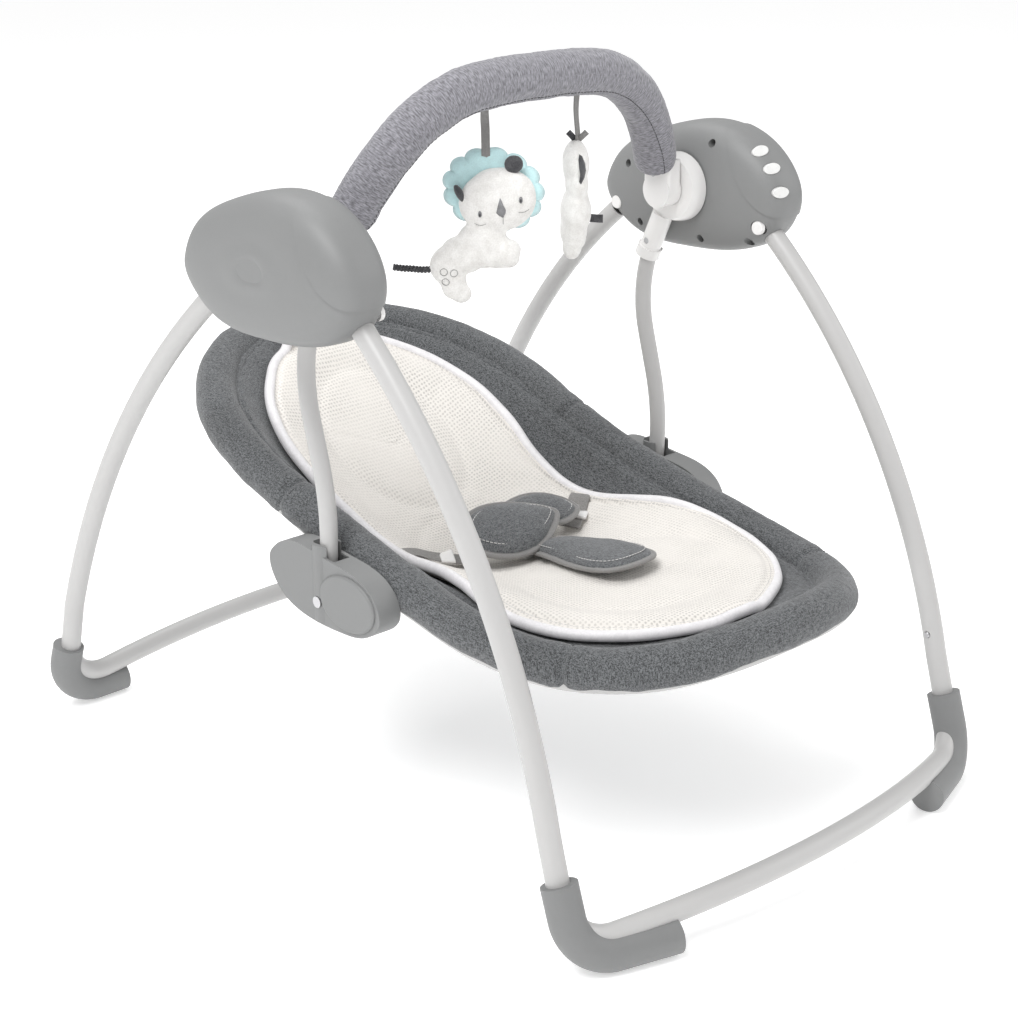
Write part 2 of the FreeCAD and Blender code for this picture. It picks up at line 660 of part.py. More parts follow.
# ---------------------------------------------------------------- toy bar
disc_x = dome_start - size("dome_gap") - size("disc_thick")
disc_r = size("disc_radius")
disc = Part.makeCylinder(disc_r, size("disc_thick"), Vector(disc_x, 0, pivot_z), Vector(1, 0, 0))
neck = Part.makeBox(size("disc_thick"), 2 * disc_r, 34, Vector(disc_x, -disc_r, pivot_z))
neck = neck.makeFillet(4.0, [e for e in neck.Edges if abs(e.BoundBox.ZMax - e.BoundBox.ZMin) > 30])
bar_end = disc.fuse(neck)
spindle = Part.makeCylinder(5.0, 4, Vector(disc_x + size("disc_thick") - 1, 0, pivot_z), Vector(1, 0, 0))
bar_end = bar_end.fuse(spindle)

bar_half = disc_x + size("disc_thick") / 2
bar_rise = size("bar_rise")
BAR_SHAPE = [(1.0, 0.03, 0.05), (0.955, 0.0, 0.245), (0.855, -0.055, 0.50), (0.72, -0.105, 0.735),
             (0.56, -0.137, 0.893), (0.352, -0.157, 0.99)]
right_side = [Vector(bar_half * fx, bar_half * fy, pivot_z + bar_rise * fz) for fx, fy, fz in BAR_SHAPE]
left_side = [Vector(-p.x, p.y, p.z) for p in reversed(right_side)]
bar_points = right_side + left_side
bar_curve = smooth_wire(bar_points)
shape_part("toy_bar_tube", hollow_pipe(bar_curve, size("bar_od") / 2, 1.2))
bar_direction, bar_start = first_tangent(bar_curve)
bar_seat = pipe(bar_curve, size("bar_od") / 2 + 0.1)
joined("toy_bar_ends", [bar_end.cut(bar_seat), flip(bar_end.cut(bar_seat))])
sleeve_start = bar_points[0] + bar_direction * 26.0
sleeve_points = [sleeve_start] + bar_points[1:-1] + [Vector(-sleeve_start.x, sleeve_start.y, sleeve_start.z)]
sleeve_wire = smooth_wire(sleeve_points)
sleeve = pipe(sleeve_wire, size("sleeve_od") / 2).cut(pipe(bar_curve, size("bar_od") / 2 + 0.1))
sleeve_cut = Part.makeBox(60, 120, 34.5, Vector(disc_x - 1, -60, pivot_z))
shape_part("toy_bar_sleeve", sleeve.cut([sleeve_cut, flip(sleeve_cut)]))


def ellipsoid(centre, radii, turn_z=0.0):
    ball_shape = Part.makeSphere(1.0)
    scale = FreeCAD.Matrix()
    scale.scale(Vector(*radii))
    stretched = ball_shape.transformGeometry(scale)
    stretched.Placement = Placement(centre, Rotation(Vector(0, 0, 1), turn_z))
    return stretched


def bar_point(x):
    """The point of the toy bar's axis at a given X."""
    points = bar_curve.discretize(800)
    return min(points, key=lambda p: abs(p.x - x))


TOY_TURN = -43.0


def toy_place(x, across, down):
    """A point beside a toy's ribbon, across it and below the bar."""
    top = bar_point(x)
    turn = math.radians(TOY_TURN)
    return Vector(x + across * math.cos(turn), top.y + across * math.sin(turn), top.z - down)


def ribbon(x, length, turn):
    """A webbing loop around the toy bar and the strap below it."""
    top = bar_point(x)
    loop_r = size("sleeve_od") / 2 + 0.8
    ring = Part.makeCylinder(loop_r + 1.2, 8, top + Vector(-4, 0, 0), Vector(1, 0, 0))
    ring = ring.cut(Part.makeCylinder(loop_r + 0.0, 12, top + Vector(-6, 0, 0), Vector(1, 0, 0)))
    strap = Part.makeBox(8, 1.4, length, Vector(-4, -0.7, -length))
    strap.Placement = Placement(top + Vector(0, 0, -loop_r - 0.6), Rotation(Vector(0, 0, 1), turn))
    return ring.fuse(strap), top + Vector(0, 0, -loop_r)


lion_x = -70.0
cub_x = 55.0
lion_ribbon, lion_hang = ribbon(lion_x, 44.0, 0.0)
cub_ribbon, cub_hang = ribbon(cub_x, 44.0, 0.0)
shape_part("ribbon_lion", lion_ribbon)
shape_part("ribbon_cub", cub_ribbon)
lion = ellipsoid(lion_hang + Vector(6, -5, -44.9 - 42), (48, 20, 42), TOY_TURN)
lion = lion.fuse(ellipsoid(lion_hang + Vector(-15, 14, -44 - 106), (34, 20, 36), TOY_TURN))
tail = rod(lion_hang + Vector(-30, 26, -152), lion_hang + Vector(-68, 62, -152), 4.5)
lion = lion.fuse(tail)
shape_part("toy_lion", lion)
cub = ellipsoid(cub_hang + Vector(0, 0, -45.5 - 62), (19, 50, 62), TOY_TURN)
shape_part("toy_cub", cub)

# ---------------------------------------------------------------- seat
ring_r = size("ring_od") / 2
# half of the seat's ring, foot to head: half width, along, height
RING = [(0, -374, 237), (68, -374, 237), (142, -338, 225), (192, -266, 218), (214, -172, 224), (213, -55, 247),
        (211, 40, 272), (213, 125, 299), (217, 205, 331), (194, 284, 359), (139, 352, 383), (64, 394, 395),
        (0, 394, 395)]
roll_in = 8.5
roll_up = 12.0
roll_r = size("roll_radius")


def loop(points):
    """The right half of a closed loop that crosses X = 0 square at both ends."""
    return smooth_wire([Vector(*p) for p in points])


# the ring is a steel tube with one drain hole under the head end
half_ring = hollow_pipe(loop(RING), ring_r, leg_wall)
half_ring = half_ring.cut(Part.makeCylinder(1.5, ring_r + 2, Vector(40, 394, 395 - ring_r - 2)))
shape_part("seat_ring", half_ring.fuse(flip(half_ring)))


def inward(points, distance, lift):
    """Half a ring, moved towards its middle and up."""
    result = []
    for i, p in enumerate(points):
        before = points[max(i - 1, 0)]
        after = points[min(i + 1, len(points) - 1)]
        if i == 0:
            before = (-points[1][0], points[1][1], 0)
        if i == len(points) - 1:
            after = (-points[-2][0], points[-2][1], 0)
        normal = Vector(-(after[1] - before[1]), after[0] - before[0], 0).normalize()
        x = 0.0 if p[0] == 0 else p[0] + normal.x * distance
        result.append((x, p[1] + normal.y * distance, p[2] + lift))
    result[1] = (result[1][0], result[0][1], result[0][2])
    result[-2] = (result[-2][0], result[-1][1], result[-1][2])
    return result


roll_points = inward(RING, roll_in, roll_up)


def grooved_disc(centre, outer, tube_at, hole):
    """A disc's outline with a round groove where a tube lies against it, square to X."""
    apart = tube_at - centre
    near = (outer ** 2 - hole ** 2 + apart.Length ** 2) / (2 * apart.Length)
    half = math.sqrt(outer ** 2 - near ** 2)
    toward = apart.normalize()
    side = Vector(0, -toward.z, toward.y)
    one = centre + toward * near + side * half
    two = centre + toward * near - side * half
    back = Part.Arc(one, centre - toward * outer, two).toShape()
    groove = Part.Arc(two, tube_at - toward * hole, one).toShape()
    return Part.Wire([back, groove])


ring_start = Vector(*RING[0])
roll_sweep = Part.BRepOffsetAPI.MakePipeShell(loop(RING))
roll_sweep.setBiNormalMode(Vector(0, 0, 1))
groove_r = ring_r + 3 * size("fit_gap")
roll_sweep.add(grooved_disc(ring_start + Vector(0, roll_in, roll_up), roll_r, ring_start, groove_r))
roll_sweep.build()
roll_sweep.makeSolid()
half_roll = roll_sweep.shape()
shape_part("seat_rim_roll", half_roll.fuse(flip(half_roll)))

# the sling: its edge follows the roll's inner side, its floor follows a curve along the middle
SLING_FLOOR = [(-346, 246), (-315, 240), (-250, 238), (-196, 244), (-112, 226), (-40, 211), (25, 206),
               (80, 216), (147, 248), (200, 284), (260, 330), (315, 370), (362, 400)]


def between(table, y):
    """Straight-line reading of a table of (along, height)."""
    for (y0, z0), (y1, z1) in zip(table, table[1:]):
        if y <= y1:
            return z0 + (z1 - z0) * (y - y0) / (y1 - y0)
    return table[-1][1]


edge_points = inward(roll_points, roll_r + 3 * size("soft_gap"), 0.0)
front_y = edge_points[0][1] + 6.0
back_y = edge_points[-1][1] - 6.0
edge_samples = loop(edge_points).discretize(300)


def edge_at(y):
    """Half width and height of the sling's edge at one place along the seat."""
    near = min(edge_samples, key=lambda p: abs(p.y - y))
    return near.x, near.z


STATIONS = 9


def sling_solid(inset, lift, cover):
    """The room above the sling's floor, drawn in by inset and raised by lift."""
    wires = []
    for k in range(STATIONS):
        share = 0.5 - 0.5 * math.cos(math.pi * k / (STATIONS - 1))
        y = front_y + inset + (back_y - front_y - 2 * inset) * share
        half, top = edge_at(y)
        half = max(half - inset, 12.0)
        floor = between(SLING_FLOOR, y) + lift
        floor = min(floor, top - 2.0 + lift)
        curve = spline([Vector(-half, y, top + lift), Vector(-0.82 * half, y, top + lift + 0.62 * (floor - top - lift)),
                        Vector(-0.45 * half, y, floor + 0.06 * (top - floor)), Vector(0, y, floor),
                        Vector(0.45 * half, y, floor + 0.06 * (top - floor)),
                        Vector(0.82 * half, y, top + lift + 0.62 * (floor - top - lift)),
                        Vector(half, y, top + lift)])
        high = top + cover
        edges = [curve.toShape(),
                 Part.LineSegment(Vector(half, y, top + lift), Vector(half, y, high + lift)).toShape(),
                 Part.LineSegment(Vector(half, y, high + lift), Vector(-half, y, high + lift)).toShape(),
                 Part.LineSegment(Vector(-half, y, high + lift), Vector(-half, y, top + lift)).toShape()]
        wires.append(Part.Wire(edges))
    return Part.makeLoft(wires, True, False)


cloth = size("cloth_thick")
soft_gap = size("soft_gap")
pad_thick = size("pad_thick")
sling_outer = sling_solid(0.0, 0.0, 4.0)
sling_inner = sling_solid(cloth, cloth, 60.0)
shape_part("seat_sling", sling_outer.cut(sling_inner))

# the pad: a figure of eight in plan, a narrow head half and a wide foot half
PAD_PLAN = [(0, -322), (70, -300), (128, -258), (162, -205), (172, -150), (164, -90), (150, -30), (138, 40),
            (140, 110), (148, 180), (138, 240), (100, 300), (52, 336), (0, 346)]
pad_loop = [Vector(x, y, 0) for x, y in PAD_PLAN] + [Vector(-x, y, 0) for x, y in reversed(PAD_PLAN[1:-1])]
pad_column = Part.Face(Part.Wire(spline(pad_loop, True).toShape())).extrude(Vector(0, 0, 700))
pad_low = sling_solid(cloth + soft_gap, cloth + soft_gap, pad_thick)
pad_high = sling_solid(cloth + soft_gap + pad_thick, cloth + soft_gap + pad_thick, 80.0)
pad = pad_low.cut(pad_high).common(pad_column)
shape_part("seat_pad", pad)


def pad_top(y):
    return between(SLING_FLOOR, y) + cloth + soft_gap + pad_thick


def strap(start, end, wide, thick):
    """A straight length of webbing between two points, its width lying along the seat."""
    along = (end - start).normalize()
    across = Vector(0, 1, 0) - along * along.y
    across.normalize()
    corner = start - across * (wide / 2)
    face = Part.Face(Part.makePolygon([corner, corner + across * wide, corner + across * wide + (end - start),
                                       corner + (end - start), corner]))
    return face.extrude(along.cross(across).normalize() * thick)


# harness: crotch tongue, buckle, two belt wings and their webbing, all resting on the pad
rest = cloth + soft_gap + pad_thick + size("fit_gap")
harness_room = sling_solid(rest, rest, 90.0)
tongue_back = Vector(0, -34, pad_top(-34) + 3)
tongue_front = Vector(0, -176, pad_top(-176) + 1)
tilt = math.degrees(math.atan2(tongue_front.z - tongue_back.z, tongue_back.y - tongue_front.y))
tongue = ellipsoid((tongue_back + tongue_front) * 0.5, (30, 74, 10))
tongue.Placement = Placement((tongue_back + tongue_front) * 0.5, Rotation(Vector(1, 0, 0), -tilt))
tongue = tongue.common(harness_room)
shape_part("crotch_tongue", tongue)
buckle = Part.makeBox(46, 26, 14, Vector(-23, -13, -6))
buckle = buckle.makeFillet(3.0, buckle.Edges)
buckle.translate(Vector(0, -26, pad_top(-26) + 9))
buckle = main_solid(buckle.common(harness_room).cut(tongue))
shape_part("harness_buckle", buckle)
wing_z = pad_top(-26) + 25.5
wing = main_solid(ellipsoid(Vector(-30, -26, wing_z), (62, 32, 8), 8).common(harness_room).cut(buckle).cut(tongue))
wing_far = ellipsoid(Vector(54, 0, wing_z + 4), (42, 20, 8), -12)
wing_far = main_solid(wing_far.common(harness_room).cut(wing).cut(buckle).cut(tongue))
joined("belt_wings", [wing, wing_far])
webs = []
for side in (-1, 1):
    web = strap(Vector(side * 168, 40, wing_z + 34), Vector(side * 74, -12, wing_z - 1), 24, 1.6)
    webs.append(main_solid(web.common(harness_room).cut(wing).cut(wing_far)))
joined("harness_webbing", webs)

# ---------------------------------------------------------------- seat hinge covers
cover_x = hanger_x - 14.0
cover_thick = size("cover_thick")
COVER_PLAN = [(96, 272), (62, 290), (12, 285), (-34, 279), (-66, 262), (-74, 240), (-54, 219), (-16, 212),
              (30, 213), (64, 220), (92, 240)]
cover_loop = [Vector(cover_x, y, z) for y, z in COVER_PLAN]
cover_face = Part.Face(Part.Wire(spline(cover_loop, True).toShape()))
cover_block = cover_face.extrude(Vector(cover_thick, 0, 0))
centre_y = 3.0
centre_z = 246.0
inset = 1.0 - 2.0 * size("cover_wall") / 90.0
room_loop = [Vector(cover_x + size("cover_wall"), centre_y + (y - centre_y) * inset, centre_z + (z - centre_z) * inset)
             for y, z in COVER_PLAN]
room = Part.Face(Part.Wire(spline(room_loop, True).toShape())).extrude(
    Vector(cover_thick - 2 * size("cover_wall"), 0, 0))
ridge = rod(Vector(hanger_x + 1, hinge_y, hinge_z - 22), Vector(hanger_x + 1, hinge_y, 296), hanger_r + 5.5)
ridge = ridge.common(Part.makeBox(60, 80, 110, Vector(cover_x, hinge_y - 40, hinge_z - 32)))
lobe = oval_x(-26, 246, 42, 29, hanger_x, cover_thick - 14 + 3)
lobe = lobe.makeFillet(2.5, [e for e in lobe.Edges if e.Closed and e.CenterOfMass.x > hanger_x + 5])
hinge_boss = Part.makeCylinder(hinge_pin_r + 4, cover_thick, Vector(cover_x, hinge_y, hinge_z), Vector(1, 0, 0))
recline = 12.0
channel_r = hanger_r + 1.0
fan = []
for angle in (-2.0, recline + 1.5):
    turn = math.radians(angle)
    fan.append((math.sin(turn), math.cos(turn)))
(back_s, back_c), (fore_s, fore_c) = fan
channel = prism_x([(hinge_y - back_s * 90 + channel_r, hinge_z - 16), (hinge_y - back_s * 90 + channel_r, hinge_z + 90),
                   (hinge_y - fore_s * 90 - channel_r, hinge_z + 90), (hinge_y - channel_r, hinge_z - 16)],
                  hanger_x - channel_r, 2 * channel_r)
cover = cover_block.cut(room).fuse(ridge).fuse(lobe.cut(room)).cut(channel)
cover = cover.fuse(hinge_boss.cut(Part.makeBox(2 * channel_r, 60, 60, Vector(hanger_x - channel_r, hinge_y - 30,
                                                                            hinge_z - 30))))
cover = cover.cut(Part.makeCylinder(hinge_pin_r + 0.02, 60, Vector(cover_x + 1, hinge_y, hinge_z), Vector(1, 0, 0)))
cover = cover.cut(Part.makeCylinder(6.2, 10, Vector(cover_x + cover_thick + 1.4, hinge_y, hinge_z), Vector(1, 0, 0)))
inner_cover = cover.common(Part.makeBox(40, 400, 300, Vector(hanger_x - 40, -200, 100)))
outer_cover = cover.common(Part.makeBox(40, 400, 300, Vector(hanger_x, -200, 100)))
joined("hinge_cover_inner", [inner_cover, flip(inner_cover)])
joined("hinge_cover_outer", [outer_cover, flip(outer_cover)])
pin_start = f"Sizes.hanger_x - {hanger_x - cover_x - 1.2:.2f}"
pin = cylinder("hinge_pin", "4", "Sizes.cover_thick - 0.5", (pin_start, f"{hinge_y}", f"{hinge_z}"))
head = cylinder("hinge_pin_head", "6", "2", (f"Sizes.hanger_x + {cover_thick - 14 + 1.5:.2f}", f"{hinge_y}", f"{hinge_z}"))
both_sides(boolean("Part::Fuse", "hinge_pin_whole", pin, head), "hinge_pins")

saddle = Part.makeBox(cover_x - 0.2 - 203, 56, 26, Vector(203, hinge_y - 34, 252))
saddle = saddle.cut(pipe(loop(RING), ring_r + 0.4)).cut(Part.makeBox(6, 80, 40, Vector(200, hinge_y - 40, 250)))
saddle = saddle.cut(pipe(loop(roll_points), roll_r + 0.3))
big = main_solid(saddle)
joined("seat_brackets", [big, flip(big)])

# ---------------------------------------------------------------- check and export
doc.recompute()
for obj in doc.Objects:
    if "Invalid" in obj.State or "Error" in obj.State:
        raise RuntimeError(f"{obj.Label} failed: {obj.State}")
broken = [obj.Label for obj in PARTS if obj.Shape.isNull() or not obj.Shape.isValid()]
if broken:
    raise RuntimeError("no valid shape: " + ", ".join(broken))
os.makedirs("parts", exist_ok=True)
for obj in PARTS:
    obj.Shape.exportStep(os.path.join("parts", obj.Label + ".step"))
    print(f"{obj.Label}: {len(obj.Shape.Solids)} solid(s), {obj.Shape.Volume:.0f} mm3")
print(len(PARTS), "nodes")
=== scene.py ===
import math
import bmesh
import bpy
from mathutils import Matrix, Vector, noise
from mathutils.bvhtree import BVHTree


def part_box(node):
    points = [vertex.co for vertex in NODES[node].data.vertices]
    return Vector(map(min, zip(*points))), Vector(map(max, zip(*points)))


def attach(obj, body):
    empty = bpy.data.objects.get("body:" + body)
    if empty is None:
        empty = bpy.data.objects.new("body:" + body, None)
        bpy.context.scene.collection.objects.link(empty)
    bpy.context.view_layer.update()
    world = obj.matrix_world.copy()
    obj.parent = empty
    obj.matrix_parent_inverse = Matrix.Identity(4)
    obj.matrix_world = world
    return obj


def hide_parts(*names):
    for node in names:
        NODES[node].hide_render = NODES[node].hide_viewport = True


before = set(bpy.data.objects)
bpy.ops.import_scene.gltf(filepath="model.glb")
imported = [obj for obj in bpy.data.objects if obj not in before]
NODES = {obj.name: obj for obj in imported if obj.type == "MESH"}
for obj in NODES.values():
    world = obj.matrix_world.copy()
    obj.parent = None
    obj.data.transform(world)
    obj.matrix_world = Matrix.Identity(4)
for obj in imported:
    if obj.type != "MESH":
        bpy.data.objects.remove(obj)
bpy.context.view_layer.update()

bl_info = {
    "name": "Baby swing",
    "version": (1, 0, 0),
    "blender": (4, 5, 0),
    "location": "View3D > Sidebar > Swing",
    "description": "Builds the cloth, plush and finishes of a baby swing on its frame",
    "category": "Object",
}

MM = 0.001


# ------------------------------------------------------------------ settings
class SwingSizes(bpy.types.PropertyGroup):
    """Sizes of the soft pieces that a user would change."""
    roll_radius: bpy.props.FloatProperty(
        name="Roll radius", description="Radius of the padded roll around the seat",
        default=0.0215, min=0.015, max=0.03, subtype="DISTANCE", unit="LENGTH")
    sleeve_radius: bpy.props.FloatProperty(
        name="Sleeve radius", description="Radius of the foam sleeve on the toy bar",
        default=0.0232, min=0.015, max=0.03, subtype="DISTANCE", unit="LENGTH")
    pad_swell: bpy.props.FloatProperty(
        name="Pad swell", description="How far the pad's face may swell between its seams",
        default=0.006, min=0.0, max=0.02, subtype="DISTANCE", unit="LENGTH")
    stitch_length: bpy.props.FloatProperty(
        name="Stitch length", description="Length of one stitch",
        default=0.0034, min=0.001, max=0.01, subtype="DISTANCE", unit="LENGTH")


class SwingColours(bpy.types.PropertyGroup):
    """Base colours of the finishes, in linear light."""
    tube: bpy.props.FloatVectorProperty(
        name="Tube", description="Paint on the frame tubes", default=(0.50, 0.495, 0.49),
        size=3, min=0, max=1, subtype="COLOR")
    shell: bpy.props.FloatVectorProperty(
        name="Shell", description="Plastic of the hubs, feet and hinge covers", default=(0.225, 0.228, 0.228),
        size=3, min=0, max=1, subtype="COLOR")
    cloth: bpy.props.FloatVectorProperty(
        name="Seat cloth", description="Mean colour of the seat's heathered weave",
        default=(0.098, 0.102, 0.106),
        size=3, min=0, max=1, subtype="COLOR")
    jersey: bpy.props.FloatVectorProperty(
        name="Jersey", description="Mean colour of the toy bar's jersey", default=(0.215, 0.212, 0.232),
        size=3, min=0, max=1, subtype="COLOR")
    pad: bpy.props.FloatVectorProperty(
        name="Pad", description="Dimple mesh of the seat pad", default=(0.79, 0.76, 0.72),
        size=3, min=0, max=1, subtype="COLOR")
    mane: bpy.props.FloatVectorProperty(
        name="Mane", description="Felt of the toy lion's mane", default=(0.61, 0.86, 0.88),
        size=3, min=0, max=1, subtype="COLOR")


# ------------------------------------------------------------------ mesh helpers
def new_piece(name, verts, faces, smooth=True):
    mesh = bpy.data.meshes.new(name)
    mesh.from_pydata([tuple(v) for v in verts], [], faces)
    mesh.validate()
    obj = bpy.data.objects.new(name, mesh)
    bpy.context.scene.collection.objects.link(obj)
    if smooth:
        mesh.shade_smooth()
    return obj


def turn_out(mesh):
    """Point every face of a mesh out."""
    bm = bmesh.new()
    bm.from_mesh(mesh)
    bmesh.ops.recalc_face_normals(bm, faces=bm.faces)
    bm.to_mesh(mesh)
    bm.free()


def outward(obj):
    """Merge doubles and point every face out."""
    bm = bmesh.new()
    bm.from_mesh(obj.data)
    bmesh.ops.remove_doubles(bm, verts=bm.verts, dist=1e-6)
    bmesh.ops.recalc_face_normals(bm, faces=bm.faces)
    bm.to_mesh(obj.data)
    bm.free()
    obj.data.shade_smooth()


def apply_all(obj):
    """Replace the object's mesh by what its modifiers make of it."""
    graph = bpy.context.evaluated_depsgraph_get()
    made = bpy.data.meshes.new_from_object(obj.evaluated_get(graph))
    obj.modifiers.clear()
    obj.data = made
    obj.data.name = obj.name


def flow(points, closed=False, per=24):
    """A smooth line inside a polygon of control points, which meets the first and last."""
    curve = bpy.data.curves.new("flow", "CURVE")
    curve.dimensions = "3D"
    curve.resolution_u = per
    line = curve.splines.new("NURBS")
    line.points.add(len(points) - 1)
    for p, q in zip(line.points, points):
        p.co = (*q, 1)
    line.order_u = 3
    line.use_cyclic_u = closed
    line.use_endpoint_u = not closed
    obj = bpy.data.objects.new("flow", curve)
    bpy.context.scene.collection.objects.link(obj)
    graph = bpy.context.evaluated_depsgraph_get()
    mesh = bpy.data.meshes.new_from_object(obj.evaluated_get(graph))
    found = [v.co.copy() for v in mesh.vertices]
    bpy.data.objects.remove(obj)
    bpy.data.meshes.remove(mesh)
    return found


def evenly(points, count, closed=False):
    """Count points at equal steps along a line."""
    pts = points + [points[0]] if closed else points
    reach = [0.0]
    for a, b in zip(pts, pts[1:]):
        reach.append(reach[-1] + (b - a).length)
    out = []
    k = 0
    for i in range(count):
        want = reach[-1] * i / (count if closed else count - 1)
        while k < len(reach) - 2 and reach[k + 1] < want:
            k += 1
        span = reach[k + 1] - reach[k]
        out.append(pts[k].lerp(pts[k + 1], (want - reach[k]) / span if span else 0))
    return out, reach[-1]


def sweep(name, path, radius, around=40, closed=False, up=Vector((0, 0, 1))):
    """A tube along path. radius(i, angle) gives its radius. The UV map is along, around, in metres."""
    verts, faces, uvs = [], [], []
    n = len(path)
    walk = 0.0
    for i, p in enumerate(path):
        ahead = path[(i + 1) % n] if closed or i < n - 1 else p
        back = path[(i - 1) % n] if closed or i > 0 else p
        t = (ahead - back).normalized()
        side = t.cross(up).normalized()
        top = side.cross(t).normalized()
        if i:
            walk += (p - path[i - 1]).length
        for j in range(around):
            a = 2 * math.pi * j / around
            r = radius(i, a)
            verts.append(p + side * math.cos(a) * r + top * math.sin(a) * r)
            uvs.append((walk, a))
    rows = n if closed else n - 1
    for i in range(rows):
        for j in range(around):
            k = (j + 1) % around
            m = (i + 1) % n
            faces.append((i * around + j, m * around + j, m * around + k, i * around + k))
    if not closed:
        faces.append(tuple(range(around)))
        faces.append(tuple(range((n - 1) * around, n * around))[::-1])
    obj = new_piece(name, verts, faces)
    layer = obj.data.uv_layers.new(name="along")
    mean = sum(radius(i, 0.0) for i in range(0, n, 10)) / len(range(0, n, 10))
    for poly in obj.data.polygons:
        angles = [uvs[v][1] for v in poly.vertices]
        wrap = max(angles) - min(angles) > 4
        walks = [uvs[v][0] for v in poly.vertices]
        turn = closed and max(walks) - min(walks) > walk * 0.5
        for loop, v in zip(poly.loop_indices, poly.vertices):
            w, a = uvs[v]
            if wrap and a < 1:
                a += 2 * math.pi
            if turn and w < walk * 0.5:
                w += walk
            layer.data[loop].uv = (w, a * mean)
    turn_out(obj.data)
    obj.data.shade_smooth()
    return obj


def ball(centre, radii, turn=None, rings=24):
    """An ellipsoid's points and faces."""
    bm = bmesh.new()
    bmesh.ops.create_uvsphere(bm, u_segments=rings * 2, v_segments=rings, radius=1.0)
    shape = Matrix.Diagonal((*radii, 1))
    if turn is not None:
        shape = turn.to_4x4() @ shape
    bm.transform(Matrix.Translation(centre) @ shape)
    verts = [v.co.copy() for v in bm.verts]
    faces = [tuple(v.index for v in f.verts) for f in bm.faces]
    bm.free()
    return verts, faces


def melt(name, lumps, voxel, smooth=6):
    """One skin around several lumps."""
    verts, faces = [], []
    for v, f in lumps:
        base = len(verts)
        verts += v
        faces += [tuple(i + base for i in face) for face in f]
    obj = new_piece(name, verts, faces)
    mod = obj.modifiers.new("skin", "REMESH")
    mod.mode = "VOXEL"
    mod.voxel_size = voxel
    soft = obj.modifiers.new("soften", "SMOOTH")
    soft.iterations = smooth
    soft.factor = 0.6
    apply_all(obj)
    outward(obj)
    return obj


def copy_node(node, name):
    mesh = NODES[node].data.copy()
    obj = bpy.data.objects.new(name, mesh)
    bpy.context.scene.collection.objects.link(obj)
    mesh.materials.clear()
    bm = bmesh.new()
    bm.from_mesh(mesh)
    bmesh.ops.remove_doubles(bm, verts=bm.verts, dist=2e-5)
    bm.to_mesh(mesh)
    bm.free()
    return obj


def remesh(obj, voxel, smooth=4):
    mod = obj.modifiers.new("skin", "REMESH")
    mod.mode = "VOXEL"
    mod.voxel_size = voxel
    soft = obj.modifiers.new("soften", "SMOOTH")
    soft.iterations = smooth
    soft.factor = 0.5
    apply_all(obj)
    outward(obj)


def inflate(obj, pressure, cap, frames=20):
    """Swell a closed mesh with the cloth solver, no point moving further than cap."""
    before = [v.co.copy() for v in obj.data.vertices]
    mod = obj.modifiers.new("air", "CLOTH")
    cloth = mod.settings
    cloth.quality = 4
    cloth.mass = 0.2
    cloth.use_pressure = True
    cloth.uniform_pressure_force = pressure
    cloth.effector_weights.gravity = 0.0
    cloth.tension_stiffness = 12
    cloth.compression_stiffness = 12
    cloth.bending_stiffness = 0.4
    mod.point_cache.frame_start = 1
    mod.point_cache.frame_end = frames
    scene = bpy.context.scene
    for f in range(1, frames + 1):
        scene.frame_set(f)
    graph = bpy.context.evaluated_depsgraph_get()
    after = obj.evaluated_get(graph).to_mesh()
    moved = []
    for a, v in zip(before, after.vertices):
        d = v.co - a
        moved.append(a + d * min(1.0, cap / d.length) if d.length > 1e-9 else a)
    obj.evaluated_get(graph).to_mesh_clear()
    obj.modifiers.clear()
    scene.frame_set(1)
    for v, p in zip(obj.data.vertices, moved):
        v.co = p
    obj.data.update()


def crumple(obj, depth, scale, seed=0.0, deep=None):
    """Soft uneven folds along the normals."""
    mesh = obj.data
    shift = Vector((seed, seed * 1.7, seed * 0.3))
    normals = [v.normal.copy() for v in mesh.vertices]
    for v, n in zip(mesh.vertices, normals):
        p = v.co * scale + shift
        value = noise.noise(p) + 0.5 * noise.noise(p * 2.3)
        amount = depth * (deep(v.co) if deep else 1.0)
        v.co = v.co + n * value * amount
    mesh.update()


def paint(obj, material):
    obj.data.materials.clear()
    obj.data.materials.append(material)
    return obj


def tree_of(node):
    """A surface to drop points on."""
    mesh = NODES[node].data if isinstance(node, str) else node.data
    return BVHTree.FromPolygons([v.co.copy() for v in mesh.vertices],
                                [tuple(p.vertices) for p in mesh.polygons])


# ------------------------------------------------------------------ shader groups
GROUPS = {}


def group(name, inputs, outputs):
    """A shader node group with named sockets, and its two end nodes."""
    tree = bpy.data.node_groups.new(name, "ShaderNodeTree")
    for kind, label, value in inputs:
        sock = tree.interface.new_socket(label, in_out="INPUT", socket_type=kind)
        if value is not None:
            sock.default_value = value
    for kind, label in outputs:
        tree.interface.new_socket(label, in_out="OUTPUT", socket_type=kind)
    GROUPS[name] = tree
    return tree, tree.nodes.new("NodeGroupInput"), tree.nodes.new("NodeGroupOutput")


def node(tree, kind, links=None, **values):
    """A node with its properties, and its sockets set or linked by name or number."""
    n = tree.nodes.new(kind)
    for k, v in values.items():
        setattr(n, k, v)
    for k, v in (links or {}).items():
        sock = n.inputs[k]
        if isinstance(v, bpy.types.NodeSocket):
            tree.links.new(v, sock)
        else:
            sock.default_value = v
    return n


F, V, C = "NodeSocketFloat", "NodeSocketVector", "NodeSocketColor"


def streaks(tree, vector, scale, detail=2.0):
    stretched = node(tree, "ShaderNodeVectorMath", {0: vector, 1: scale}, operation="MULTIPLY")
    return node(tree, "ShaderNodeTexNoise", {"Vector": stretched.outputs[0], "Scale": 1.0,
                                             "Detail": detail}).outputs["Fac"]


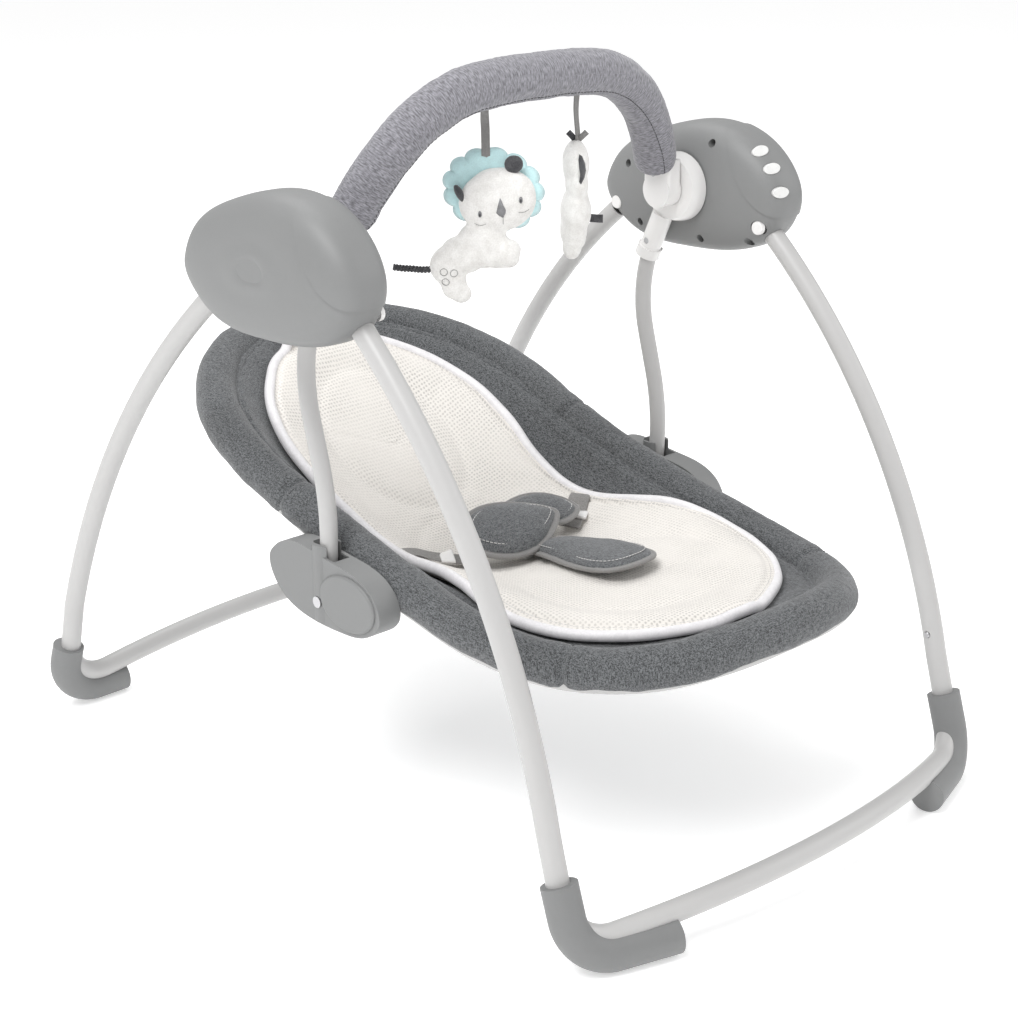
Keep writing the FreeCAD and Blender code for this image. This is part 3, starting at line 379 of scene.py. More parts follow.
def make_heather():
    """Warp and weft yarns of uneven shade."""
    tree, gin, gout = group("heathered_weave", [(V, "Vector", None), (F, "Yarns", 620.0),
                                                (F, "Contrast", 1.0), (F, "Weft", 1.0),
                                               (C, "Dark", (0.03, 0.03, 0.03, 1)),
                                               (C, "Light", (0.3, 0.3, 0.3, 1))],
                            [(C, "Colour"), (F, "Height")])
    pos = gin.outputs["Vector"]
    warp = streaks(tree, pos, (170, 1150, 1150))
    weft = streaks(tree, pos, (1150, 170, 900))
    slope = streaks(tree, pos, (1150, 900, 170))
    cross = node(tree, "ShaderNodeMath", {0: weft, 1: slope}, operation="ADD")
    both = node(tree, "ShaderNodeMath", {0: cross.outputs[0], 1: gin.outputs["Weft"], 2: warp},
                operation="MULTIPLY_ADD")
    parts = node(tree, "ShaderNodeMath", {0: gin.outputs["Weft"], 1: 2.0, 2: 1.0}, operation="MULTIPLY_ADD")
    mean = node(tree, "ShaderNodeMath", {0: both.outputs[0], 1: parts.outputs[0]}, operation="DIVIDE")
    off = node(tree, "ShaderNodeMath", {0: mean.outputs[0], 1: 0.5}, operation="SUBTRACT")
    wide = node(tree, "ShaderNodeMath", {0: off.outputs[0], 1: 3.6}, operation="MULTIPLY")
    sized = node(tree, "ShaderNodeMath", {0: wide.outputs[0], 1: gin.outputs["Contrast"]},
                 operation="MULTIPLY")
    fac = node(tree, "ShaderNodeMath", {0: sized.outputs[0], 1: 0.5}, operation="ADD", use_clamp=True)
    mix = node(tree, "ShaderNodeMix", data_type="RGBA")
    tree.links.new(fac.outputs[0], mix.inputs[0])
    tree.links.new(gin.outputs["Dark"], mix.inputs[6])
    tree.links.new(gin.outputs["Light"], mix.inputs[7])
    split = node(tree, "ShaderNodeSeparateXYZ", {0: pos})
    waves = []
    for axis in range(3):
        times = node(tree, "ShaderNodeMath", {0: split.outputs[axis], 1: gin.outputs["Yarns"]},
                     operation="MULTIPLY")
        turn = node(tree, "ShaderNodeMath", {0: times.outputs[0], 1: 6.2832}, operation="MULTIPLY")
        waves.append(node(tree, "ShaderNodeMath", {0: turn.outputs[0]}, operation="SINE").outputs[0])
    xy = node(tree, "ShaderNodeMath", {0: waves[0], 1: waves[1]}, operation="MULTIPLY")
    high = node(tree, "ShaderNodeMath", {0: xy.outputs[0], 1: waves[2]}, operation="ADD")
    low = node(tree, "ShaderNodeMath", {0: high.outputs[0], 1: 0.25}, operation="MULTIPLY")
    total = node(tree, "ShaderNodeMath", {0: low.outputs[0], 1: fac.outputs[0]}, operation="ADD")
    tree.links.new(mix.outputs[2], gout.inputs["Colour"])
    tree.links.new(total.outputs[0], gout.inputs["Height"])


def make_grain():
    """Fine moulded grain with slow changes of tone and a finer random mottle of tone."""
    tree, gin, gout = group("moulded_grain", [(V, "Vector", None), (F, "Grain", 1400.0),
                                              (F, "Variation", 0.06),
                                             (C, "Base", (0.5, 0.5, 0.5, 1)), (F, "Roughness", 0.5)],
                            [(C, "Colour"), (F, "Roughness"), (F, "Height")])
    fine = node(tree, "ShaderNodeTexNoise", {"Vector": gin.outputs["Vector"], "Scale": gin.outputs["Grain"],
                                             "Detail": 3.0})
    slow = node(tree, "ShaderNodeTexNoise", {"Vector": gin.outputs["Vector"], "Scale": 9.0, "Detail": 3.0})
    scuff = node(tree, "ShaderNodeTexNoise", {"Vector": gin.outputs["Vector"], "Scale": 160.0, "Detail": 6.0})
    sum1 = node(tree, "ShaderNodeMath", {0: slow.outputs["Fac"], 1: -0.5}, operation="ADD")
    sum2 = node(tree, "ShaderNodeMath", {0: scuff.outputs["Fac"], 1: -0.5}, operation="ADD")
    part = node(tree, "ShaderNodeMath", {0: sum2.outputs[0], 1: 0.5}, operation="MULTIPLY")
    both = node(tree, "ShaderNodeMath", {0: sum1.outputs[0], 1: part.outputs[0]}, operation="ADD")
    scaled = node(tree, "ShaderNodeMath", {0: both.outputs[0], 1: gin.outputs["Variation"]},
                  operation="MULTIPLY")
    gain = node(tree, "ShaderNodeMath", {0: scaled.outputs[0], 1: 1.0}, operation="ADD")
    tint = node(tree, "ShaderNodeVectorMath", {0: gin.outputs["Base"]}, operation="SCALE")
    tree.links.new(gain.outputs[0], tint.inputs["Scale"])
    rough = node(tree, "ShaderNodeMath", {0: scaled.outputs[0], 1: gin.outputs["Roughness"]},
                 operation="ADD", use_clamp=True)
    tree.links.new(tint.outputs[0], gout.inputs["Colour"])
    tree.links.new(rough.outputs[0], gout.inputs["Roughness"])
    tree.links.new(fine.outputs["Fac"], gout.inputs["Height"])


def make_nap():
    """Short pile or brushed jersey: two sizes of tuft and a mottled tone."""
    tree, gin, gout = group("soft_nap", [(V, "Vector", None), (F, "Tuft", 900.0),
                                         (C, "Shade", (0.6, 0.6, 0.6, 1)),
                                        (C, "Tip", (0.9, 0.9, 0.9, 1))], [(C, "Colour"), (F, "Height")])
    one = node(tree, "ShaderNodeTexNoise", {"Vector": gin.outputs["Vector"], "Scale": gin.outputs["Tuft"],
                                            "Detail": 3.0})
    two = node(tree, "ShaderNodeTexNoise", {"Vector": gin.outputs["Vector"], "Scale": 120.0, "Detail": 2.0})
    both = node(tree, "ShaderNodeMath", {0: one.outputs["Fac"], 1: two.outputs["Fac"]}, operation="ADD")
    half = node(tree, "ShaderNodeMath", {0: both.outputs[0], 1: 0.5}, operation="MULTIPLY")
    curve = node(tree, "ShaderNodeMapRange", {"Value": half.outputs[0], "From Min": 0.35, "From Max": 0.65})
    mix = node(tree, "ShaderNodeMix", data_type="RGBA")
    tree.links.new(curve.outputs[0], mix.inputs[0])
    tree.links.new(gin.outputs["Shade"], mix.inputs[6])
    tree.links.new(gin.outputs["Tip"], mix.inputs[7])
    tree.links.new(mix.outputs[2], gout.inputs["Colour"])
    tree.links.new(half.outputs[0], gout.inputs["Height"])


def make_dimples():
    """Spacer mesh: rows of small round dimples on a knitted face, painted darker inside as painted shade."""
    tree, gin, gout = group("dimple_mesh", [(V, "Vector", None), (F, "Pitch", 250.0),
                                            (C, "Face", (0.8, 0.78, 0.74, 1)),
                                           (C, "Dimple shade", (0.6, 0.58, 0.54, 1))], [(C, "Colour"), (F, "Height")])
    cells = node(tree, "ShaderNodeTexVoronoi", {"Vector": gin.outputs["Vector"],
                                                "Scale": gin.outputs["Pitch"],
                                               "Randomness": 0.18}, voronoi_dimensions="2D")
    dot = node(tree, "ShaderNodeMapRange", {"Value": cells.outputs["Distance"], "From Min": 0.12,
                                            "From Max": 0.38},
               interpolation_type="SMOOTHSTEP")
    slow = node(tree, "ShaderNodeTexNoise", {"Vector": gin.outputs["Vector"], "Scale": 14.0, "Detail": 2.0})
    # a slow noise limits, in patches, how deep the dimples go and how much painted shade they get
    dimple_fade = node(tree, "ShaderNodeMapRange", {"Value": slow.outputs["Fac"], "From Min": 0.35, "From Max": 0.65,
                                            "To Min": 0.75, "To Max": 0.15})
    keep = node(tree, "ShaderNodeMath", {0: dot.outputs[0], 1: dimple_fade.outputs[0]}, operation="MAXIMUM")
    # the dimples take the darker colour: painted shade in the recesses
    mix = node(tree, "ShaderNodeMix", data_type="RGBA")
    tree.links.new(keep.outputs[0], mix.inputs[0])
    tree.links.new(gin.outputs["Dimple shade"], mix.inputs[6])
    tree.links.new(gin.outputs["Face"], mix.inputs[7])
    tree.links.new(mix.outputs[2], gout.inputs["Colour"])
    tree.links.new(keep.outputs[0], gout.inputs["Height"])


# ------------------------------------------------------------------ finishes
FINISH = {}


def finish(name, group_name, values, bump=0.2, depth=0.0004, rough=0.6, sheen=0.0,
           metal=0.0, coat=0.0, spec=0.5, uv=None):
    """A material whose colour and relief come from one shared group."""
    mat = bpy.data.materials.new(name)
    mat.use_nodes = True
    tree = mat.node_tree
    shader = tree.nodes["Principled BSDF"]
    if uv:
        where = node(tree, "ShaderNodeUVMap", uv_map=uv).outputs[0]
    else:
        where = node(tree, "ShaderNodeTexCoord").outputs["Object"]
    inner = node(tree, "ShaderNodeGroup")
    inner.node_tree = GROUPS[group_name]
    tree.links.new(where, inner.inputs["Vector"])
    for k, v in values.items():
        inner.inputs[k].default_value = (*v, 1) if isinstance(v, (tuple, list)) and len(v) == 3 else v
    tree.links.new(inner.outputs["Colour"], shader.inputs["Base Color"])
    if "Roughness" in inner.outputs:
        inner.inputs["Roughness"].default_value = rough
        tree.links.new(inner.outputs["Roughness"], shader.inputs["Roughness"])
    else:
        shader.inputs["Roughness"].default_value = rough
    shader.inputs["Metallic"].default_value = metal
    shader.inputs["Sheen Weight"].default_value = sheen
    shader.inputs["Sheen Roughness"].default_value = 0.5
    shader.inputs["Coat Weight"].default_value = coat
    shader.inputs["Coat Roughness"].default_value = 0.15
    shader.inputs["Specular IOR Level"].default_value = spec
    relief = node(tree, "ShaderNodeBump", {"Strength": bump, "Distance": depth})
    tree.links.new(inner.outputs["Height"], relief.inputs["Height"])
    tree.links.new(relief.outputs[0], shader.inputs["Normal"])
    FINISH[name] = mat
    return mat


def shade(colour, k):
    return tuple(min(1.0, c * k) for c in colour)


def make_finishes():
    make_heather()
    make_grain()
    make_nap()
    make_dimples()
    c = bpy.context.scene.swing_colours
    grain = "moulded_grain"
    finish("tube_paint", grain, {"Base": tuple(c.tube), "Grain": 900.0, "Variation": 0.05}, bump=0.05,
           rough=0.36,
           depth=0.0001, spec=0.5)
    finish("shell_plastic", grain, {"Base": tuple(c.shell), "Variation": 0.09}, bump=0.22, rough=0.5,
           depth=0.0002)
    finish("boot_plastic", grain, {"Base": shade(c.shell, 0.93), "Variation": 0.12}, bump=0.25, rough=0.52,
           depth=0.0002)
    finish("white_plastic", grain, {"Base": (0.83, 0.82, 0.81), "Variation": 0.02, "Grain": 600.0}, bump=0.03,
           rough=0.2, depth=0.0001, coat=0.3)
    finish("speckled_key", grain, {"Base": (0.80, 0.80, 0.79), "Variation": 0.35, "Grain": 260.0}, bump=0.5,
           rough=0.35, depth=0.0006)
    finish("zinc", grain, {"Base": (0.55, 0.55, 0.56), "Variation": 0.2}, bump=0.1, rough=0.35, metal=1.0,
           depth=0.0001)
    finish("bearing_plastic", grain, {"Base": (0.72, 0.71, 0.69), "Variation": 0.05}, bump=0.1, rough=0.45)
    finish("black_plastic", grain, {"Base": (0.03, 0.03, 0.032), "Variation": 0.2}, bump=0.15, rough=0.5)
    finish("copper_wire", grain, {"Base": (0.55, 0.24, 0.10), "Variation": 0.3, "Grain": 3000.0}, bump=0.4,
           rough=0.35, metal=1.0)
    finish("green_board", grain, {"Base": (0.03, 0.20, 0.07), "Variation": 0.25}, bump=0.2, rough=0.4)
    cloth = tuple(c.cloth)
    finish("seat_weave", "heathered_weave", {"Dark": shade(cloth, 0.42), "Light": shade(cloth, 1.85),
                                             "Contrast": 1.7},
           bump=0.35, depth=0.0006, rough=0.85, sheen=0.25, spec=0.25)
    finish("harness_weave", "heathered_weave", {"Dark": shade(cloth, 0.55), "Light": shade(cloth, 2.1),
                                                "Contrast": 1.2,
                                               "Yarns": 800.0}, bump=0.35, depth=0.0005, rough=0.85,
                                               sheen=0.25, spec=0.25)
    finish("binding_tape", "heathered_weave", {"Dark": (0.17, 0.165, 0.16), "Light": (0.27, 0.265, 0.26),
                                               "Yarns": 900.0,
                                              "Contrast": 0.6}, bump=0.25, depth=0.0004, rough=0.55,
                                              sheen=0.3, spec=0.4)
    finish("webbing_tape", "heathered_weave", {"Dark": (0.15, 0.145, 0.14), "Light": (0.30, 0.29, 0.28),
                                               "Yarns": 700.0,
                                              "Contrast": 0.9}, bump=0.4, depth=0.0005, rough=0.7,
                                              sheen=0.2, spec=0.3)
    jersey = tuple(c.jersey)
    finish("bar_jersey", "heathered_weave", {"Dark": shade(jersey, 0.62), "Light": shade(jersey, 1.65),
                                             "Contrast": 0.95, "Weft": 0.12,
                                            "Yarns": 500.0}, bump=0.3, depth=0.0005, rough=0.9, sheen=0.3,
                                            spec=0.2, uv="knit")
    # darker seat cloth for the bar's end: partly a darker cloth, partly painted shade for the shadowed inner
    # side of the end
    finish("bar_end_cloth_and_shade", "heathered_weave", {"Dark": shade(cloth, 0.5), "Light": shade(cloth, 2.0),
                                           "Contrast": 1.2},
           bump=0.3, depth=0.0005, rough=0.88, sheen=0.2, spec=0.25)
    # the dimples get the pad colour at two thirds: painted shade in the recesses
    finish("pad_mesh", "dimple_mesh", {"Face": tuple(c.pad), "Dimple shade": shade(c.pad, 0.66)}, bump=0.55,
           depth=0.0012,
           rough=0.85, sheen=0.2, spec=0.25)
    finish("pad_satin", "soft_nap", {"Shade": (0.74, 0.725, 0.74), "Tip": (0.86, 0.845, 0.86),
                                     "Tuft": 500.0}, bump=0.12,
           depth=0.0003, rough=0.42, sheen=0.3)
    finish("white_plush", "soft_nap", {"Shade": (0.70, 0.685, 0.66), "Tip": (0.86, 0.85, 0.83),
                                       "Tuft": 700.0}, bump=0.6,
           depth=0.0011, rough=0.95, sheen=0.6, spec=0.15)
    finish("mane_felt", "soft_nap", {"Shade": shade(c.mane, 0.86), "Tip": tuple(c.mane), "Tuft": 900.0},
           bump=0.45,
           depth=0.0007, rough=0.95, sheen=0.5, spec=0.15)
    finish("ear_felt", "soft_nap", {"Shade": (0.045, 0.045, 0.05), "Tip": (0.10, 0.10, 0.105),
                                    "Tuft": 900.0}, bump=0.5,
           depth=0.0006, rough=0.95, sheen=0.3, spec=0.15)
    finish("grey_thread", "soft_nap", {"Shade": (0.10, 0.10, 0.10), "Tip": (0.19, 0.19, 0.19),
                                       "Tuft": 2500.0}, bump=0.3,
           depth=0.0002, rough=0.7)
    finish("nose_thread", "soft_nap", {"Shade": (0.15, 0.15, 0.155), "Tip": (0.30, 0.30, 0.31),
                                       "Tuft": 2200.0}, bump=0.4,
           depth=0.0003, rough=0.6)
    finish("pale_thread", "soft_nap", {"Shade": (0.50, 0.49, 0.48), "Tip": (0.72, 0.71, 0.70),
                                       "Tuft": 2500.0}, bump=0.3,
           depth=0.0002, rough=0.7)
    finish("dark_thread", "soft_nap", {"Shade": (0.02, 0.02, 0.022), "Tip": (0.05, 0.05, 0.052),
                                       "Tuft": 2500.0}, bump=0.3,
           depth=0.0002, rough=0.7)


# ------------------------------------------------------------------ stitches
def stitch_tree():
    """Geometry nodes: short rounded stitches in a row along a curve."""
    tree = bpy.data.node_groups.new("stitch_row", "GeometryNodeTree")
    face = tree.interface
    face.new_socket("Geometry", in_out="INPUT", socket_type="NodeSocketGeometry")
    for label, value in (("Pitch", 0.005), ("Length", 0.0034), ("Thickness", 0.0005)):
        s = face.new_socket(label, in_out="INPUT", socket_type="NodeSocketFloat")
        s.default_value = value
    face.new_socket("Thread", in_out="INPUT", socket_type="NodeSocketMaterial")
    face.new_socket("Geometry", in_out="OUTPUT", socket_type="NodeSocketGeometry")
    gin = tree.nodes.new("NodeGroupInput")
    gout = tree.nodes.new("NodeGroupOutput")
    points = node(tree, "GeometryNodeCurveToPoints", {"Curve": gin.outputs["Geometry"],
                                                      "Length": gin.outputs["Pitch"]},
                  mode="LENGTH")
    grain = node(tree, "GeometryNodeMeshCylinder", {"Vertices": 6, "Radius": gin.outputs["Thickness"],
                                                   "Depth": gin.outputs["Length"]})
    place = node(tree, "GeometryNodeInstanceOnPoints", {"Points": points.outputs["Points"],
                                                        "Instance": grain.outputs["Mesh"],
                                                       "Rotation": points.outputs["Rotation"]})
    real = node(tree, "GeometryNodeRealizeInstances", {"Geometry": place.outputs["Instances"]})
    coat = node(tree, "GeometryNodeSetMaterial", {"Geometry": real.outputs["Geometry"],
                                                  "Material": gin.outputs["Thread"]})
    tree.links.new(coat.outputs["Geometry"], gout.inputs["Geometry"])
    return tree


def stitches(name, lines, body, thread, pitch=0.0052, length=None, thick=0.00045):
    """Rows of stitches along lines of points, as one piece that rides on a body."""
    tree = bpy.data.node_groups.get("stitch_row") or stitch_tree()
    curve = bpy.data.curves.new(name + "_line", "CURVE")
    curve.dimensions = "3D"
    for points, closed in lines:
        line = curve.splines.new("POLY")
        line.points.add(len(points) - 1)
        for p, q in zip(line.points, points):
            p.co = (*q, 1)
        line.use_cyclic_u = closed
    holder = bpy.data.objects.new(name, curve)
    bpy.context.scene.collection.objects.link(holder)
    mod = holder.modifiers.new("rows", "NODES")
    mod.node_group = tree
    wanted = {"Pitch": pitch, "Length": length or bpy.context.scene.swing_sizes.stitch_length,
              "Thickness": thick,
              "Thread": FINISH[thread]}
    for item in tree.interface.items_tree:
        if item.item_type == "SOCKET" and item.in_out == "INPUT" and item.name in wanted:
            mod[item.identifier] = wanted[item.name]
    graph = bpy.context.evaluated_depsgraph_get()
    mesh = bpy.data.meshes.new_from_object(holder.evaluated_get(graph))
    bpy.data.objects.remove(holder)
    obj = bpy.data.objects.new(name, mesh)
    bpy.context.scene.collection.objects.link(obj)
    mesh.name = name
    if not mesh.materials:
        mesh.materials.append(FINISH[thread])
    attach(obj, body)
    return obj


# ------------------------------------------------------------------ stage
class SWING_OT_stage(bpy.types.Operator):
    """Camera, floor and soft studio light"""
    bl_idname = "swing.stage"
    bl_label = "Stage"

    def execute(self, context):
        scene = context.scene
        data = bpy.data.cameras.new("view")
        data.lens = 70.73
        data.sensor_width = 36
        data.clip_end = 50
        camera = bpy.data.objects.new("view", data)
        scene.collection.objects.link(camera)
        back = Vector((-0.6440, -0.6872, 0.3363)).normalized()
        turn = back.to_track_quat("Z", "Y") @ Matrix.Rotation(math.radians(-0.45), 3, "Z").to_quaternion()
        camera.matrix_world = Matrix.LocRotScale(Vector((-1.3876, -1.4698, 0.9963)), turn, None)
        scene.camera = camera
        half = 9.0
        floor = new_piece("floor", [(-half, -half, -0.0005), (half, -half, -0.0005), (half, half, -0.0005),
                                    (-half, half, -0.0005)], [(0, 1, 2, 3)], smooth=False)
        mat = bpy.data.materials.new("floor_paper")
        mat.use_nodes = True
        shader = mat.node_tree.nodes["Principled BSDF"]
        shader.inputs["Base Color"].default_value = (0.93, 0.93, 0.93, 1)
        shader.inputs["Roughness"].default_value = 0.9
        shader.inputs["Emission Color"].default_value = (1, 1, 1, 1)
        shader.inputs["Emission Strength"].default_value = 0.42
        floor.data.materials.append(mat)
        world = bpy.data.worlds.new("studio")
        world.use_nodes = True
        ground = world.node_tree.nodes["Background"]
        ground.inputs["Color"].default_value = (1.0, 1.0, 1.0, 1)
        ground.inputs["Strength"].default_value = 0.58
        scene.world = world
        for name, spot, size, power in (("key_light", (-2.2, -0.6, 3.4), 1.8, 92),
                                        ("fill_light", (2.8, -2.2, 2.2), 2.4, 30),
                                        ("top_light", (0.4, 1.6, 3.8), 2.2, 44)):
            lamp = bpy.data.lights.new(name, "AREA")
            lamp.size = size
            lamp.energy = power
            obj = bpy.data.objects.new(name, lamp)
            scene.collection.objects.link(obj)
            aim = (Vector(spot) - Vector((0, 0, 0.35))).normalized()
            obj.matrix_world = Matrix.LocRotScale(Vector(spot), aim.to_track_quat("Z", "Y"), None)
        scene.view_settings.view_transform = "Standard"
        return {"FINISHED"}


# ------------------------------------------------------------------ finishes on the hard parts
HARD = {
    "tube_paint": ["front_tube_right", "front_tube_left", "rear_tube_right", "rear_tube_left",
                   "front_floor_tube",
                   "rear_floor_tube", "hangers", "seat_ring"],
    "boot_plastic": ["front_foot_right", "front_foot_left", "rear_foot_right", "rear_foot_left"],
    "shell_plastic": ["hub_inner_right", "hub_outer_right", "control_panel", "hub_inner_left",
                      "hub_outer_left",
                      "hub_cap_left", "battery_lid", "hinge_cover_inner", "hinge_cover_outer",
                      "seat_brackets"],
    "white_plastic": ["release_front_right", "release_front_left", "release_rear_right", "release_rear_left",
                      "dome_right", "dome_left", "harness_buckle", "toy_bar_ends"],
    "speckled_key": ["key_speed", "key_timer", "key_music"],
    "zinc": ["hub_screws", "clamp_screws", "hinge_pins", "swing_axles", "snap_front_right", "snap_front_left",
             "snap_rear_right", "snap_rear_left", "drive_magnet_arm", "battery_cells", "toy_bar_tube"],
    "bearing_plastic": ["axle_bushes", "battery_tray"],
    "black_plastic": ["loudspeaker"],
    "copper_wire": ["drive_coil"],
    "green_board": ["circuit_board"],
}


class SWING_OT_hard_finishes(bpy.types.Operator):
    """Paint, moulded plastic and metal on the frame's own parts"""
    bl_idname = "swing.hard_finishes"
    bl_label = "Hard finishes"

    def execute(self, context):
        make_finishes()
        for name, nodes in HARD.items():
            for n in nodes:
                obj = NODES[n]
                obj.data.materials.clear()
                obj.data.materials.append(FINISH[name])
        return {"FINISHED"}


# ------------------------------------------------------------------ seat
# half of the seat's ring, foot to head: half width, along, height, in mm
RING = [(0, -374, 237), (68, -374, 237), (142, -338, 225), (192, -266, 218), (214, -172, 224),
        (213, -55, 247),
        (211, 40, 272), (213, 125, 299), (217, 205, 331), (194, 284, 359), (139, 352, 383), (64, 394, 395),
        (0, 394, 395)]
ROLL_IN, ROLL_UP = 8.5, 12.0
ROLL_STEP_MM = 2.13
SEAM_DEPTH, SEAM_SWELL = 0.0024, 0.0007
SEAM_PLACES = (-0.262, 0.118)


def ring_loop(inward, lift, count=720):
    """The seat's outline as a closed loop, moved in and up."""
    half = [Vector(p) for p in RING[1:-1]]
    loop = half + [Vector((-p.x, p.y, p.z)) for p in reversed(half)]
    line, _ = evenly([p * MM for p in flow(loop, closed=True, per=30)], count, closed=True)
    moved = []
    for i, p in enumerate(line):
        t = (line[(i + 1) % count] - line[i - 1]).normalized()
        flat = Vector((t.x, t.y, 0)).normalized()
        side = Vector((-flat.y, flat.x, 0))
        if side.dot(Vector((-p.x, -p.y, 0))) < 0:
            side = -side
        moved.append(p + side * inward * MM + Vector((0, 0, lift * MM)))
    return moved


def bulge_at(value, centre, width):
    return math.exp(-((value - centre) / width) ** 2)


class SWING_OT_rim_roll(bpy.types.Operator):
    """The padded roll sewn around the seat's ring, with its cross seams"""
    bl_idname = "swing.rim_roll"
    bl_label = "Rim roll"

    def execute(self, context):
        r = context.scene.swing_sizes.roll_radius
        count = 1000
        path = ring_loop(ROLL_IN, ROLL_UP, count)
        marks = []
        for y in SEAM_PLACES:
            for side in (-1, 1):
                best = min(range(count),
                           key=lambda i: abs(path[i].y - y) + (10 if path[i].x * side < 0 else 0))
                marks.append(best)

        def radius(i, a):
            p = path[i]
            value = r * (1.0 + 0.05 * bulge_at(p.y, 0.30, 0.12))
            for m in marks:
                away = min(abs(i - m), count - abs(i - m)) * ROLL_STEP_MM
                value -= SEAM_DEPTH * math.exp(-(away / 2.6) ** 2)
                value += SEAM_SWELL * math.exp(-((away - 16) / 9) ** 2)
            ripple = noise.noise(Vector((i * 0.045, math.cos(a) * 1.1, math.sin(a) * 1.1)))
            fine = noise.noise(Vector((i * 0.17, math.cos(a) * 2.4, math.sin(a) * 2.4 + 7)))
            value += 0.0012 * ripple + 0.0004 * fine
            return value

        roll = sweep("rim_roll", path, radius, around=56, closed=True)
        paint(roll, FINISH["seat_weave"])
        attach(roll, "seat")
        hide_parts("seat_rim_roll")
        rows = []
        for m in marks:
            p = path[m]
            t = (path[(m + 2) % count] - path[m - 2]).normalized()
            side = t.cross(Vector((0, 0, 1))).normalized()
            top = side.cross(t).normalized()
            for shift in (-3, 3):
                base = path[(m + shift) % count]
                ringlet = [base + (side * math.cos(a) + top * math.sin(a)) * (r - 0.0001)
                           for a in [2 * math.pi * k / 40 for k in range(40)]]
                rows.append((ringlet, True))
        stitches("rim_cross_stitches", rows, "seat", "dark_thread", pitch=0.0042, length=0.0028, thick=0.0004)
        return {"FINISHED"}


class SWING_OT_sling(bpy.types.Operator):
    """The seat's cloth hammock, softly folded where it meets the roll"""
    bl_idname = "swing.sling"
    bl_label = "Sling"

    def execute(self, context):
        sling = copy_node("seat_sling", "seat_cloth_sling")
        remesh(sling, 0.0042, smooth=8)
        crumple(sling, 0.0016, 16.0, seed=3.0)
        crumple(sling, 0.0007, 55.0, seed=9.0)
        paint(sling, FINISH["seat_weave"])
        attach(sling, "seat")
        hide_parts("seat_sling")
        inner = ring_loop(ROLL_IN + 20.5, ROLL_UP - 1.0, 500)
        r = 0.0062

        def radius(i, a):
            return r + 0.0008 * noise.noise(Vector((i * 0.08, math.cos(a), math.sin(a))))

        piping = sweep("sling_bolster", inner, radius, around=20, closed=True)
        paint(piping, FINISH["seat_weave"])
        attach(piping, "seat")
        return {"FINISHED"}


# half of the pad's outline in plan, foot to head, in mm
PAD_EDGE = [(0, -322), (70, -300), (128, -258), (162, -205), (172, -150), (164, -90), (150, -30), (138, 40),
            (140, 110), (148, 180), (138, 240), (100, 300), (52, 336), (0, 346)]


def pad_outline(count):
    half = [Vector((x, y, 0)) for x, y in PAD_EDGE]
    loop = half + [Vector((-p.x, p.y, 0)) for p in reversed(half[1:-1])]
    curve = bpy.data.curves.new("edge", "CURVE")
    curve.dimensions = "3D"
    line = curve.splines.new("BEZIER")
    line.bezier_points.add(len(loop) - 1)
    for b, p in zip(line.bezier_points, loop):
        b.co = p
        b.handle_left_type = b.handle_right_type = "AUTO"
    line.use_cyclic_u = True
    line.resolution_u = 24
    obj = bpy.data.objects.new("edge", curve)
    bpy.context.scene.collection.objects.link(obj)
    mesh = bpy.data.meshes.new_from_object(obj.evaluated_get(bpy.context.evaluated_depsgraph_get()))
    found = [v.co.copy() for v in mesh.vertices]
    bpy.data.objects.remove(obj)
    line, _ = evenly([p * MM for p in found], count, closed=True)
    return line


def spine(p):
    """The point of the pad's middle line that faces an edge point."""
    low, high = -0.17, 0.20
    y = max(low, min(high, p.y * 0.80))
    return Vector((0, y, 0))


def drop(trees, x, y, top=0.8):
    """Height of the highest of some surfaces below a point."""
    best = None
    for tree in trees:
        hit = tree.ray_cast(Vector((x, y, top)), Vector((0, 0, -1)))
        if hit[0] is not None and (best is None or hit[0].z > best):
            best = hit[0].z
    return best


def quilting(x, y, share):
    """Relief of the pad's face: a head panel, a body panel, and the crown towards the edge."""
    rise = 0.0
    head = math.hypot(x / 0.078, (y - 0.205) / 0.088)
    rise -= 0.0030 * bulge_at(head, 1.0, 0.10)
    body = math.hypot(x / 0.098, (y - 0.03) / 0.072)
    rise -= 0.0012 * bulge_at(body, 1.0, 0.10)
    leg = math.hypot(x / 0.118, (y + 0.165) / 0.095)
    rise -= 0.0016 * bulge_at(leg, 1.0, 0.08)
    rise -= 0.0035 * bulge_at(share, 0.93, 0.025)
    rise += 0.0022 * bulge_at(share, 0.80, 0.10)
    tongue_slot = math.hypot(x / 0.046, (y + 0.172) / 0.016)
    rise -= 0.0040 * bulge_at(tongue_slot, 0.0, 1.0)
    return rise


STITCH_SHARE = 0.945


